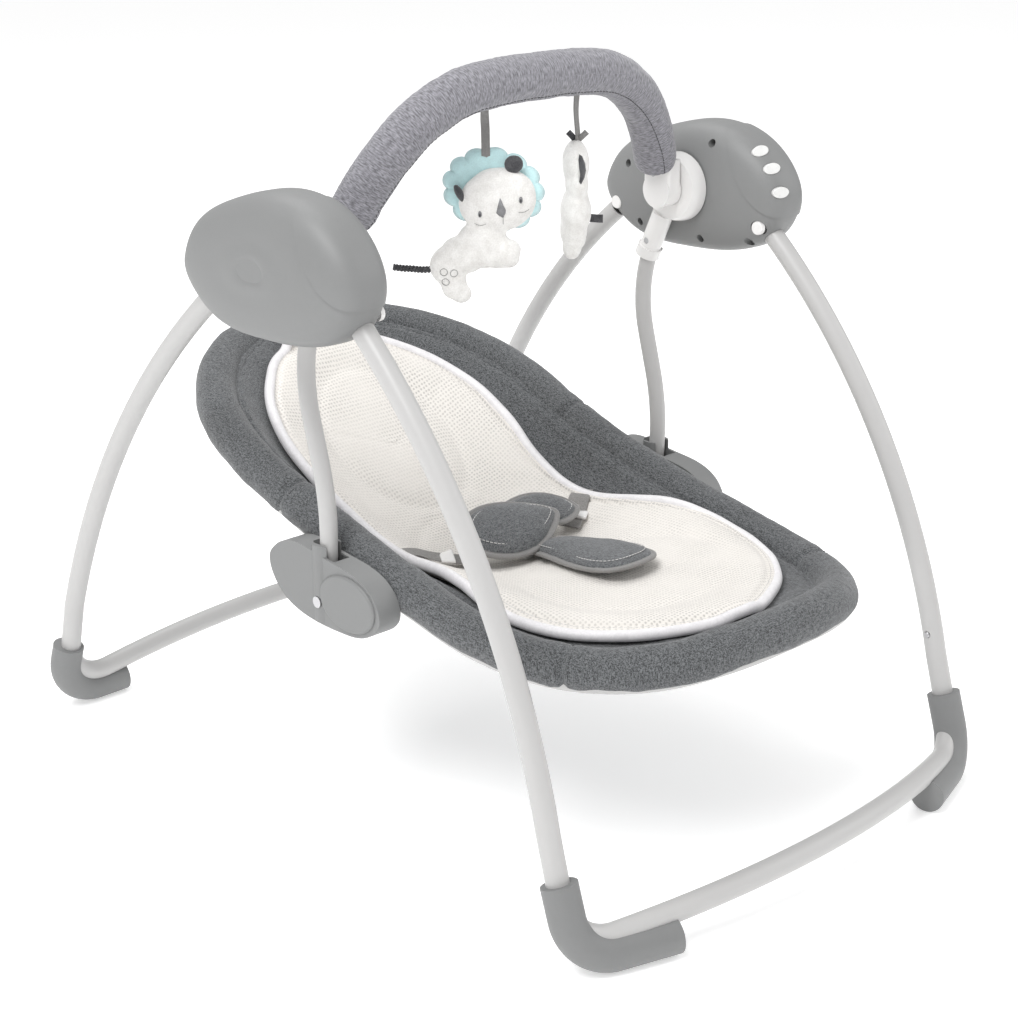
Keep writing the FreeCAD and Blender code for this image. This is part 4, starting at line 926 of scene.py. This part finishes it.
class SWING_OT_seat_pad(bpy.types.Operator):
    """The pale dimple-mesh pad, with its quilted panels and satin edge"""
    bl_idname = "swing.seat_pad"
    bl_label = "Seat pad"

    def execute(self, context):
        rings, count = 74, 360
        edge = pad_outline(count)
        tree = tree_of("seat_pad")
        verts, faces = [], []
        flat = []
        for k in range(rings + 1):
            share = (k / rings) ** 0.85
            row = []
            for i, e in enumerate(edge):
                s = spine(e)
                row.append(s.lerp(e, share * 0.985))
            flat.append((share, row))
        thick = 0.0125
        heights = []
        for share, row in flat:
            hs = []
            for p in row:
                z = drop([tree], p.x, p.y)
                if z is None:
                    z = drop([tree], p.x * 0.965, p.y * 0.975)
                hs.append(z)
            heights.append(hs)
        for k, hs in enumerate(heights):
            for i, z in enumerate(hs):
                if z is None:
                    hs[i] = heights[k - 1][i]
        # a ring of equal heights would show the frame's facets, so each row is eased along itself
        for k in range(len(heights)):
            for _ in range(3):
                hs = heights[k]
                heights[k] = [(hs[i - 1] + 2 * hs[i] + hs[(i + 1) % count]) / 4 for i in range(count)]
        for k, (share, row) in enumerate(flat):
            for i, p in enumerate(row):
                round_off = max(0.0, (share - 0.94) / 0.06)
                z = heights[k][i] + quilting(p.x, p.y, share) - thick * 0.5 * round_off ** 2
                verts.append(Vector((p.x, p.y, z)))
        base = len(verts)
        for k, (share, row) in enumerate(flat):
            for i, p in enumerate(row):
                round_off = max(0.0, (share - 0.94) / 0.06)
                verts.append(Vector((p.x, p.y, heights[k][i] - thick + thick * 0.5 * round_off ** 2)))
        for k in range(rings):
            for i in range(count):
                j = (i + 1) % count
                a, b, c, d = k * count + i, k * count + j, (k + 1) * count + j, (k + 1) * count + i
                faces.append((a, d, c, b))
                faces.append((base + a, base + b, base + c, base + d))
        last = rings * count
        for i in range(count):
            j = (i + 1) % count
            faces.append((last + i, base + last + i, base + last + j, last + j))
        pad = new_piece("seat_pad_mesh", verts, faces)
        outward(pad)
        inflate(pad, 2.0, context.scene.swing_sizes.pad_swell * 0.5, frames=12)
        crumple(pad, 0.0011, 13.0, seed=5.0)
        paint(pad, FINISH["pad_mesh"])
        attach(pad, "seat")
        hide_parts("seat_pad")
        pad_tree = tree_of(pad)
        rim = []
        for i, e in enumerate(edge):
            rim.append(Vector((e.x * 0.985, e.y * 0.985, heights[rings][i] - thick * 0.62)))

        def radius(i, a):
            return 0.0058 + 0.0006 * noise.noise(Vector((i * 0.12, math.cos(a), 3.0)))

        binding = sweep("pad_binding", rim, radius, around=20, closed=True)
        paint(binding, FINISH["pad_satin"])
        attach(binding, "seat")
        line = []
        for e in edge:
            p = spine(e).lerp(e, STITCH_SHARE * 0.985)
            z = drop([pad_tree], p.x, p.y)
            if z is not None:
                line.append(Vector((p.x, p.y, z + 0.0003)))
        stitches("pad_edge_stitches", [(line, True)], "seat", "pale_thread", pitch=0.0052, length=0.0034,
                 thick=0.0004)
        return {"FINISHED"}


# ------------------------------------------------------------------ harness
def leaf_outline(length, width, blunt, count=64):
    """A leaf: sharp at its start, round at its end. Points in its own plane."""
    points = []
    for k in range(count):
        a = 2 * math.pi * k / count
        u = 0.5 - 0.5 * math.cos(a)
        half = width * 0.5 * (math.sin(math.pi * u ** blunt)) ** 0.75 if 0 < u < 1 else 0.0
        points.append(Vector((length * (u - 0.5), half if a <= math.pi else -half, 0)))
    return points


def cushion(name, outline, thick, place, dome, material, body, rings=14, swell=0.003):
    """A small padded panel over an outline, crowned on top and flat below."""
    count = len(outline)
    centre = sum(outline, Vector()) / count
    verts, faces = [], []
    for side in (1, -1):
        for k in range(rings + 1):
            share = k / rings
            rise = math.sqrt(max(0.0, 1 - share ** 3))
            for p in outline:
                q = centre.lerp(p, share)
                verts.append(Vector((q.x, q.y, side * thick * 0.5 * rise + dome * (1 - share ** 2))))
    base = (rings + 1) * count
    for k in range(rings):
        for i in range(count):
            j = (i + 1) % count
            a, b, c, d = k * count + i, k * count + j, (k + 1) * count + j, (k + 1) * count + i
            faces.append((a, d, c, b))
            faces.append((base + a, base + b, base + c, base + d))
    obj = new_piece(name, [place @ v for v in verts], faces)
    outward(obj)
    mod = obj.modifiers.new("skin", "REMESH")
    mod.mode = "VOXEL"
    mod.voxel_size = 0.0022
    apply_all(obj)
    outward(obj)
    inflate(obj, 3.0, swell, frames=10)
    crumple(obj, 0.0007, 40.0, seed=len(name))
    soft = obj.modifiers.new("soften", "SMOOTH")
    soft.iterations = 2
    apply_all(obj)
    obj.data.shade_smooth()
    paint(obj, FINISH[material])
    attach(obj, body)
    return obj


def binding_around(name, outline, place, wide, body):
    """A flat tape folded round a panel's edge."""
    line = [place @ Vector((p.x, p.y, p.z)) for p in outline]
    path, _ = evenly(line, 160, closed=True)
    up = (place.to_3x3() @ Vector((0, 0, 1))).normalized()

    def radius(i, a):
        c = abs(math.cos(a))
        return wide * (0.36 + 0.64 * c ** 1.5) + 0.0003 * noise.noise(Vector((i * 0.3, a, 1.0)))

    tape = sweep(name, path, radius, around=16, closed=True, up=up)
    paint(tape, FINISH["binding_tape"])
    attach(tape, body)
    return tape


def strap(name, points, wide, thick, ups, material, body, steps=90):
    """A flat strap along points, its face turned by the ups, closed and slightly domed."""
    path, _ = evenly(flow(points, per=20), steps)
    n = len(path)
    verts, faces, around = [], [], 12
    profile = []
    for k in range(around):
        a = 2 * math.pi * k / around
        x = math.copysign(abs(math.cos(a)) ** 0.4, math.cos(a)) * wide / 2
        y = math.copysign(abs(math.sin(a)) ** 0.7, math.sin(a)) * thick / 2
        profile.append((x, y))
    for i, p in enumerate(path):
        t = (path[min(i + 1, n - 1)] - path[max(i - 1, 0)]).normalized()
        f = i / (n - 1) * (len(ups) - 1)
        k = min(int(f), len(ups) - 2)
        up = ups[k].lerp(ups[k + 1], f - k).normalized()
        side = t.cross(up).normalized()
        top = side.cross(t).normalized()
        for x, y in profile:
            verts.append(p + side * x + top * y)
    for i in range(n - 1):
        for k in range(around):
            m = (k + 1) % around
            faces.append((i * around + k, (i + 1) * around + k, (i + 1) * around + m, i * around + m))
    faces.append(tuple(range(around)))
    faces.append(tuple(range((n - 1) * around, n * around))[::-1])
    obj = new_piece(name, verts, faces)
    turn_out(obj.data)
    paint(obj, FINISH[material])
    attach(obj, body)
    return obj


def place_at(centre, along, up):
    """The frame of a flat panel: X along, Z up."""
    x = along.normalized()
    z = (up - x * up.dot(x)).normalized()
    y = z.cross(x)
    m = Matrix((x, y, z)).transposed().to_4x4()
    return Matrix.Translation(centre) @ m


def inset(outline, distance):
    centre = sum(outline, Vector()) / len(outline)
    out = []
    for p in outline:
        d = (p - centre)
        out.append(centre + d * max(0.0, 1 - distance / max(d.length, 1e-6)))
    return out


class SWING_OT_harness(bpy.types.Operator):
    """Belt wings, crotch tongue, buckles and webbing"""
    bl_idname = "swing.harness"
    bl_label = "Harness"

    def execute(self, context):
        lo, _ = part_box("belt_wings")
        tongue_lo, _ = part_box("crotch_tongue")
        # crotch tongue: narrow at the buckle, wide at its slot
        t_outline = [Vector(p) for p in (
            (0.074, 0.0, 0), (0.072, 0.022, 0), (0.062, 0.036, 0), (0.038, 0.041, 0), (0.008, 0.037, 0),
            (-0.030, 0.026, 0), (-0.066, 0.020, 0), (-0.072, 0.0, 0), (-0.066, -0.020, 0),
            (-0.030, -0.026, 0),
            (0.008, -0.037, 0), (0.038, -0.041, 0), (0.062, -0.036, 0), (0.072, -0.022, 0))]
        smooth, _ = evenly(flow(t_outline, closed=True, per=12), 72, closed=True)
        centre = Vector((0, -0.106, tongue_lo.z + 0.0205))
        along = Vector((0, -1, 0.13))
        frame_t = place_at(centre, along, Vector((0, 0, 1)))
        tongue = cushion("tongue_cover", smooth, 0.019, frame_t, 0.005, "harness_weave", "seat")
        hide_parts("crotch_tongue")
        binding_around("tongue_binding", smooth, frame_t, 0.0042, "seat")
        row = [frame_t @ Vector((p.x, p.y, 0.0078)) for p in inset(smooth, 0.0075)]
        stitches("tongue_stitches", [(row, True)], "seat", "pale_thread", pitch=0.0042, length=0.0028)
        # belt wings: a large leaf across the front and a smaller one behind it
        leaf = leaf_outline(0.124, 0.076, 0.80)
        big, _ = evenly(flow(leaf, closed=True, per=8), 80, closed=True)
        frame_w = place_at(Vector((-0.026, -0.020, lo.z + 0.0185)), Vector((1.0, -0.05, 0.05)),
                           Vector((-0.14, -0.42, 1)))
        wing = cushion("belt_wing_front", big, 0.017, frame_w, 0.009, "harness_weave", "seat")
        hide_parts("belt_wings", "harness_webbing")
        binding_around("belt_wing_front_binding", big, frame_w, 0.0048, "seat")
        row = [frame_w @ Vector((p.x, p.y, 0.0092)) for p in inset(big, 0.0090)]
        stitches("belt_wing_front_stitches", [(row, True)], "seat", "pale_thread", pitch=0.0042,
                 length=0.0028)
        small, _ = evenly(flow(leaf_outline(0.090, 0.050, 0.85), closed=True, per=8), 72, closed=True)
        frame_s = place_at(Vector((0.044, 0.010, lo.z + 0.0145)), Vector((-0.93, 0.34, 0.10)),
                           Vector((0.15, -0.45, 1)))
        cushion("belt_wing_back", small, 0.011, frame_s, 0.005, "harness_weave", "seat")
        binding_around("belt_wing_back_binding", small, frame_s, 0.0040, "seat")
        row = [frame_s @ Vector((p.x, p.y, 0.0050)) for p in inset(small, 0.0070)]
        stitches("belt_wing_back_stitches", [(row, True)], "seat", "pale_thread", pitch=0.0042, length=0.0028)
        # waist webbing from the sides of the sling to the wings
        tree = tree_of("seat_pad")
        for side in (-1, 1):
            points = []
            for x, y, off in ((0.150, 0.046, 0.0), (0.128, 0.030, 0.0025), (0.100, 0.010, 0.004),
                              (0.072, -0.008, 0.006)):
                z = drop([tree], side * x, y) or lo.z
                points.append(Vector((side * x, y, z + 0.0020 + off)))
            ups = [Vector((-side * 0.5, -0.2, 1)), Vector((-side * 0.3, -0.2, 1)),
                   Vector((-side * 0.1, -0.2, 1))]
            strap("waist_strap_%s" % ("right" if side > 0 else "left"), points, 0.024, 0.0016, ups,
                  "webbing_tape",
                  "seat")
            strap("strap_slide_%s" % ("right" if side > 0 else "left"),
                          [points[2] + Vector((0, 0, 0.0012)),
                           points[2] + Vector((side * -0.006, -0.004, 0.0018)),
                           points[2] + Vector((side * -0.012, -0.008, 0.0022))], 0.030, 0.0042, ups,
                           "white_plastic",
                          "seat", steps=12)
        return {"FINISHED"}


# ------------------------------------------------------------------ toy bar
PIVOT = Vector((0, 0, 0.590))
BAR_RISE = 0.1474
SEAM = math.radians(-62)
BAR_SHAPE = [(1.0, 0.03, 0.05), (0.955, 0.0, 0.245), (0.855, -0.055, 0.50), (0.72, -0.105, 0.735),
             (0.56, -0.137, 0.893), (0.352, -0.157, 0.99)]


def bar_line():
    """The middle of the toy bar from the left socket to the right one."""
    _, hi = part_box("toy_bar_ends")
    half = hi.x - 0.014
    right = [Vector((half * a, half * b, PIVOT.z + BAR_RISE * c)) for a, b, c in BAR_SHAPE]
    left = [Vector((-p.x, p.y, p.z)) for p in reversed(right)]
    return flow(list(reversed(right + left)), per=40)


def bar_at(line, x):
    return min(line, key=lambda p: abs(p.x - x))


class SWING_OT_toy_bar(bpy.types.Operator):
    """The foam sleeve in heathered jersey, with its seam"""
    bl_idname = "swing.toy_bar"
    bl_label = "Toy bar"

    def execute(self, context):
        r = context.scene.swing_sizes.sleeve_radius
        line = bar_line()
        clipped = [p for p in line if p.z > PIVOT.z + 0.026]
        path, total = evenly(clipped, 560)
        n = len(path)

        def radius(i, a):
            s = i / (n - 1)
            end = min(s, 1 - s) * total
            value = r * (0.80 + 0.20 * min(1.0, (end / 0.012)) ** 0.5)
            value += 0.0007 * noise.noise(Vector((i * 0.05, math.cos(a), math.sin(a))))
            value += 0.0004 * noise.noise(Vector((i * 0.22, math.cos(a) * 1.5, math.sin(a) * 1.5)))
            seam = math.atan2(math.sin(a - SEAM), math.cos(a - SEAM))
            value -= 0.0013 * math.exp(-(seam * r / 0.0016) ** 2)
            return value

        sleeve = sweep("bar_sleeve", path, radius, around=64)
        knit = sleeve.data.uv_layers.new(name="knit")
        along = sleeve.data.uv_layers["along"]
        for k in range(len(knit.data)):
            u, v = along.data[k].uv
            knit.data[k].uv = (v, u * 0.7)
        paint(sleeve, FINISH["bar_jersey"])
        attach(sleeve, "toy_bar")
        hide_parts("toy_bar_sleeve")
        row = []
        for i in range(4, n - 4):
            p = path[i]
            t = (path[i + 1] - path[i - 1]).normalized()
            side = t.cross(Vector((0, 0, 1))).normalized()
            top = side.cross(t).normalized()
            a = SEAM + 0.16
            rad = radius(i, a) + 0.0002
            row.append(p + (side * math.cos(a) + top * math.sin(a)) * rad)
        stitches("bar_seam_stitches", [(row, False)], "toy_bar", "dark_thread", pitch=0.0046, length=0.0030,
                 thick=0.0004)
        return {"FINISHED"}


# ------------------------------------------------------------------ toys
ACROSS = Vector((math.cos(math.radians(-43)), math.sin(math.radians(-43)), 0))
TOWARDS = Vector((-math.sin(math.radians(43)), -math.cos(math.radians(43)), 0))
UP = Vector((0, 0, 1))


def toy_point(origin, a, b, n=0.0):
    """A point of a toy in mm: across, up, and towards its front."""
    return origin + (ACROSS * a + UP * b + TOWARDS * n) * MM


def toy_turn(roll=0.0):
    base = Matrix((ACROSS, -TOWARDS, UP)).transposed()
    return base @ Matrix.Rotation(math.radians(roll), 3, "Y")


def lump(origin, a, b, n, radii, roll=0.0):
    return ball(toy_point(origin, a, b, n), [r * MM for r in radii], toy_turn(roll), rings=14)


def patch(name, origin, outline, surface, lift, thick, material, body):
    """A small embroidered or felt patch laid on a toy's skin."""
    count = len(outline)
    centre = (sum(a for a, b in outline) / count, sum(b for a, b in outline) / count)
    rings = 4
    verts = []
    for layer in (1, -1):
        for k in range(rings + 1):
            share = k / rings
            for a, b in outline:
                x = centre[0] + (a - centre[0]) * share
                y = centre[1] + (b - centre[1]) * share
                start = toy_point(origin, x, y, 80)
                hit = surface.ray_cast(start, -TOWARDS)
                base = hit[0] if hit[0] is not None else toy_point(origin, x, y, 0)
                rise = lift + (thick * math.sqrt(max(0.0, 1 - share ** 4)) if layer > 0 else -0.0006)
                verts.append(base + TOWARDS * rise)
    faces = []
    base = (rings + 1) * count
    for k in range(rings):
        for i in range(count):
            j = (i + 1) % count
            a, b, c, d = k * count + i, k * count + j, (k + 1) * count + j, (k + 1) * count + i
            faces.append((a, b, c, d))
            faces.append((base + a, base + d, base + c, base + b))
    for i in range(count):
        j = (i + 1) % count
        faces.append((rings * count + i, rings * count + j, base + rings * count + j,
                      base + rings * count + i))
    obj = new_piece(name, verts, faces)
    outward(obj)
    paint(obj, FINISH[material])
    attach(obj, body)
    return obj


def oval(a, b, ra, rb, tilt=0.0, count=20, point=0.0):
    out = []
    t = math.radians(tilt)
    for k in range(count):
        g = 2 * math.pi * k / count
        x = ra * math.cos(g) * (1 - point * max(0.0, math.sin(g)))
        y = rb * math.sin(g)
        out.append((a + x * math.cos(t) - y * math.sin(t), b + x * math.sin(t) + y * math.cos(t)))
    return out


def braid(name, points, radius, body):
    """A dark cord of three twisted strands."""
    path, total = evenly(flow(points, per=16), 90)
    verts, faces = [], []
    for s in range(3):
        base = len(verts)
        for i, p in enumerate(path):
            t = (path[min(i + 1, 89)] - path[max(i - 1, 0)]).normalized()
            side = t.cross(UP).normalized()
            top = side.cross(t).normalized()
            g = i / 89 * total / 0.010 * 2 * math.pi + s * 2.0944
            c = p + (side * math.cos(g) + top * math.sin(g)) * radius * 0.5
            for j in range(8):
                h = 2 * math.pi * j / 8
                verts.append(c + (side * math.cos(h) + top * math.sin(h)) * radius * 0.56)
        for i in range(89):
            for j in range(8):
                k = (j + 1) % 8
                faces.append((base + i * 8 + j, base + (i + 1) * 8 + j, base + (i + 1) * 8 + k,
                              base + i * 8 + k))
        faces.append(tuple(range(base, base + 8)))
        faces.append(tuple(range(base + 89 * 8, base + 90 * 8))[::-1])
    obj = new_piece(name, verts, faces)
    outward(obj)
    paint(obj, FINISH["ear_felt"])
    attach(obj, body)
    return obj


def hanging_ribbon(name, line, x, foot, wide, turn, body, node_name):
    """Webbing sewn into the sleeve's under seam, which turns to face as its toy does."""
    top = bar_at(line, x)
    r = bpy.context.scene.swing_sizes.sleeve_radius
    verts, faces = [], []
    base = len(verts)
    start = top + Vector((0, 0, -r + 0.0030))
    rows = 24
    for i in range(rows + 1):
        s = i / rows
        g = turn * min(1.0, s * 2.2)
        side = Vector((math.cos(g), math.sin(g), 0))
        face = Vector((-math.sin(g), math.cos(g), 0))
        p = start.lerp(foot, s) + face * 0.0012 * math.sin(s * 5)
        for w, t in ((-wide / 2, -0.0007), (wide / 2, -0.0007), (wide / 2, 0.0007), (-wide / 2, 0.0007)):
            verts.append(p + side * w + face * t)
    for i in range(rows):
        for k in range(4):
            m = (k + 1) % 4
            faces.append((base + i * 4 + k, base + (i + 1) * 4 + k, base + (i + 1) * 4 + m, base + i * 4 + m))
    faces.append((base, base + 1, base + 2, base + 3))
    faces.append(tuple(base + rows * 4 + k for k in (3, 2, 1, 0)))
    obj = new_piece(name, verts, faces, smooth=False)
    turn_out(obj.data)
    paint(obj, FINISH["binding_tape"])
    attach(obj, body)
    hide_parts(node_name)
    return obj


class SWING_OT_lion(bpy.types.Operator):
    """The plush toy that faces the front, with its scalloped mane"""
    bl_idname = "swing.lion"
    bl_label = "Lion"

    def execute(self, context):
        line = bar_line()
        lo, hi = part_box("ribbon_lion")
        o = Vector(((lo.x + hi.x) / 2, (lo.y + hi.y) / 2, lo.z))
        lumps = [lump(o, 11, -44, 2, (39, 15, 32), -14), lump(o, 8, -34, 0, (30, 13, 22), -14),
                 lump(o, -4, -88, -1, (27, 15, 24), 20), lump(o, 14, -97, 0, (21, 12, 14), -20),
                 lump(o, 22, -101, 0, (11, 10, 11)), lump(o, -24, -98, 0, (22, 14, 18), 30),
                 lump(o, -39, -108, 0, (18, 13, 20), 20), lump(o, -33, -126, 0, (13, 11, 17), 10),
                 lump(o, -26, -137, 0, (11, 10, 10))]
        body = melt("lion_body", lumps, 0.0020, smooth=10)
        crumple(body, 0.0006, 60.0, seed=2.0)
        paint(body, FINISH["white_plush"])
        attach(body, "lion")
        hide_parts("toy_lion")
        # the mane: a scalloped felt disc behind the face
        count = 420
        ring = []
        for k in range(count):
            g = 2 * math.pi * k / count
            wave = abs(math.sin(g * 6.5)) ** 0.6
            ra = (46 + 5.0 * wave)
            rb = (37 + 5.0 * wave)
            t = math.radians(-14)
            x, y = ra * math.cos(g), rb * math.sin(g)
            ring.append((7 + x * math.cos(t) - y * math.sin(t), -35 + x * math.sin(t) + y * math.cos(t)))
        verts, faces = [], []
        rings = 8
        for side in (1, -1):
            for k in range(rings + 1):
                share = k / rings
                puff = 4.2 * math.sqrt(max(0.0, 1 - share ** 4))
                for a, b in ring:
                    verts.append(toy_point(o, 7 + (a - 7) * share, -35 + (b + 35) * share, -5 + side * puff))
        base = (rings + 1) * count
        for k in range(rings):
            for i in range(count):
                j = (i + 1) % count
                a, b, c, d = k * count + i, k * count + j, (k + 1) * count + j, (k + 1) * count + i
                faces.append((a, b, c, d))
                faces.append((base + a, base + d, base + c, base + b))
        mane = new_piece("lion_mane", verts, faces)
        outward(mane)
        paint(mane, FINISH["mane_felt"])
        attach(mane, "lion")
        for name, a, b, ra, rb, roll, n in (("lion_ear_right", 27, -8, 9.5, 9.0, -8, 6),
                                            ("lion_ear_left", -26, -36, 4.0, 10.0, -28, 6)):
            ear = melt(name, [lump(o, a, b, n, (ra, 4.5, rb), roll)], 0.0014, smooth=2)
            paint(ear, FINISH["ear_felt"])
            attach(ear, "lion")
        skin = tree_of(body)
        patch("lion_eye_left", o, oval(-6.3, -55, 1.9, 3.3, 0), skin, 0.0003, 0.0012, "nose_thread", "lion")
        patch("lion_eye_right", o, oval(33.6, -41.5, 1.9, 3.3, 0), skin, 0.0003, 0.0012, "nose_thread",
              "lion")
        patch("lion_pupil_left", o, oval(-6.3, -55.5, 1.0, 2.0, 0, 12), skin, 0.0012, 0.0007, "dark_thread",
              "lion")
        patch("lion_pupil_right", o, oval(33.6, -42, 1.0, 2.0, 0, 12), skin, 0.0012, 0.0007, "dark_thread",
              "lion")
        drop_shape = [(13.4, -38.5), (15.2, -42), (17.2, -47), (19.2, -51), (18.6, -54.5), (16.3, -58.6),
                      (12.2, -56.4),
                      (9.6, -53.6), (10.6, -49), (12.0, -43.5)]
        patch("lion_nose", o, drop_shape, skin, 0.0003, 0.0014, "nose_thread", "lion")
        rows = []

        def on_skin(a, b):
            hit = skin.ray_cast(toy_point(o, a, b, 80), -TOWARDS)
            return (hit[0] if hit[0] is not None else toy_point(o, a, b, 0)) + TOWARDS * 0.0004

        rows.append(([on_skin(16.3, -59 - k * 0.8) for k in range(8)], False))
        rows.append(([on_skin(-11 + k, -65 - 1.6 * math.sin(k / 10 * 3.1)) for k in range(11)], False))
        rows.append(([on_skin(32 + k, -53.5 + 0.25 * k - 1.4 * math.sin(k / 10 * 3.1)) for k in range(10)],
                     False))
        stitches("lion_mouth_stitches", rows, "lion", "grey_thread", pitch=0.0016, length=0.0015,
                 thick=0.00022)
        rings_at = []
        for a, b in ((-42.5, -112.5), (-32.5, -114), (-41, -123)):
            rings_at.append(([on_skin(a + 3.6 * math.cos(g), b + 3.6 * math.sin(g)) for g in
                              [2 * math.pi * k / 20 for k in range(20)]], True))
        stitches("lion_paw_rings", rings_at, "lion", "grey_thread", pitch=0.0013, length=0.0012,
                 thick=0.00022)
        tail = [toy_point(o, -54, -112, 0), toy_point(o, -62, -113, 0), toy_point(o, -74, -111.5, 0),
                toy_point(o, -86, -111, 0),
                toy_point(o, -93, -109.5, 0)]
        braid("lion_tail", tail, 0.0034, "lion")
        foot = toy_point(o, 0, -3, -4)
        hanging_ribbon("lion_ribbon", line, o.x, foot, 0.0085, math.radians(-43), "lion", "ribbon_lion")
        return {"FINISHED"}


class SWING_OT_cub(bpy.types.Operator):
    """The plush toy seen from its edge"""
    bl_idname = "swing.cub"
    bl_label = "Cub"

    def execute(self, context):
        line = bar_line()
        lo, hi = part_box("ribbon_cub")
        o = Vector(((lo.x + hi.x) / 2, (lo.y + hi.y) / 2, lo.z))
        lumps = [lump(o, -1, -24, 0, (14, 30, 24)), lump(o, 0, -44, 4, (12, 27, 20)),
                 lump(o, -1, -72, 2, (16, 30, 26)),
                 lump(o, -3, -92, 0, (14, 25, 22)), lump(o, -5, -108, 10, (10, 14, 13)),
                 lump(o, 1, -103, -14, (10, 14, 13))]
        body = melt("cub_body", lumps, 0.0020, smooth=8)
        crumple(body, 0.0006, 60.0, seed=4.0)
        paint(body, FINISH["white_plush"])
        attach(body, "cub")
        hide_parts("toy_cub")
        skin = tree_of(body)
        ear = [(1.5, -11), (4.5, -13), (7.5, -20), (8.6, -28), (7.0, -35), (3.2, -40.5), (1.4, -38),
               (2.4, -31), (1.2, -24), (0.6, -16)]
        patch("cub_ear", o, ear, skin, 0.0006, 0.0022, "ear_felt", "cub")
        bits = [("cub_bow_left", (-2, 0, 0), (-5, 4, 2), (-9, 8, 3), "ear_felt"),
                ("cub_bow_right", (2, 0, 0), (6, 4, 2), (10, 8, 3), "binding_tape")]
        for name, p1, p2, p3, mat in bits:
            pts = [toy_point(o, *p) for p in (p1, p2, p3)]
            strap(name, pts, 0.006, 0.0012, [TOWARDS, TOWARDS], mat, "cub", steps=16)
        pts = [toy_point(o, 13, -80, 0), toy_point(o, 20, -81, 0), toy_point(o, 27, -81, 0)]
        strap("cub_tail_ribbon", pts, 0.0085, 0.0014, [TOWARDS, TOWARDS], "ear_felt", "cub",
              steps=16)
        foot = toy_point(o, 0, -4, 0)
        hanging_ribbon("cub_ribbon", line, o.x, foot, 0.0070, math.radians(10), "cub", "ribbon_cub")
        return {"FINISHED"}


# ------------------------------------------------------------------ sidebar and run
OPERATORS = [SWING_OT_stage, SWING_OT_hard_finishes, SWING_OT_rim_roll, SWING_OT_sling, SWING_OT_seat_pad,
             SWING_OT_harness, SWING_OT_toy_bar, SWING_OT_lion, SWING_OT_cub]


class SWING_PT_panel(bpy.types.Panel):
    """Lists the swing's pieces and settings"""
    bl_idname = "SWING_PT_panel"
    bl_label = "Baby swing"
    bl_space_type = "VIEW_3D"
    bl_region_type = "UI"
    bl_category = "Swing"

    def draw(self, context):
        column = self.layout.column()
        for source in (context.scene.swing_sizes, context.scene.swing_colours):
            for name in source.__annotations__:
                column.prop(source, name)
        for operator in OPERATORS:
            column.operator(operator.bl_idname)


def register():
    for cls in [SwingSizes, SwingColours, *OPERATORS, SWING_PT_panel]:
        bpy.utils.register_class(cls)
    bpy.types.Scene.swing_sizes = bpy.props.PointerProperty(type=SwingSizes)
    bpy.types.Scene.swing_colours = bpy.props.PointerProperty(type=SwingColours)


def unregister():
    del bpy.types.Scene.swing_colours
    del bpy.types.Scene.swing_sizes
    for cls in reversed([SwingSizes, SwingColours, *OPERATORS, SWING_PT_panel]):
        bpy.utils.unregister_class(cls)


def main():
    register()
    bpy.ops.swing.stage()
    bpy.ops.swing.hard_finishes()
    bpy.ops.swing.rim_roll()
    bpy.ops.swing.sling()
    bpy.ops.swing.seat_pad()
    bpy.ops.swing.harness()
    bpy.ops.swing.toy_bar()
    bpy.ops.swing.lion()
    bpy.ops.swing.cub()


if __name__ == "__main__":
    main()
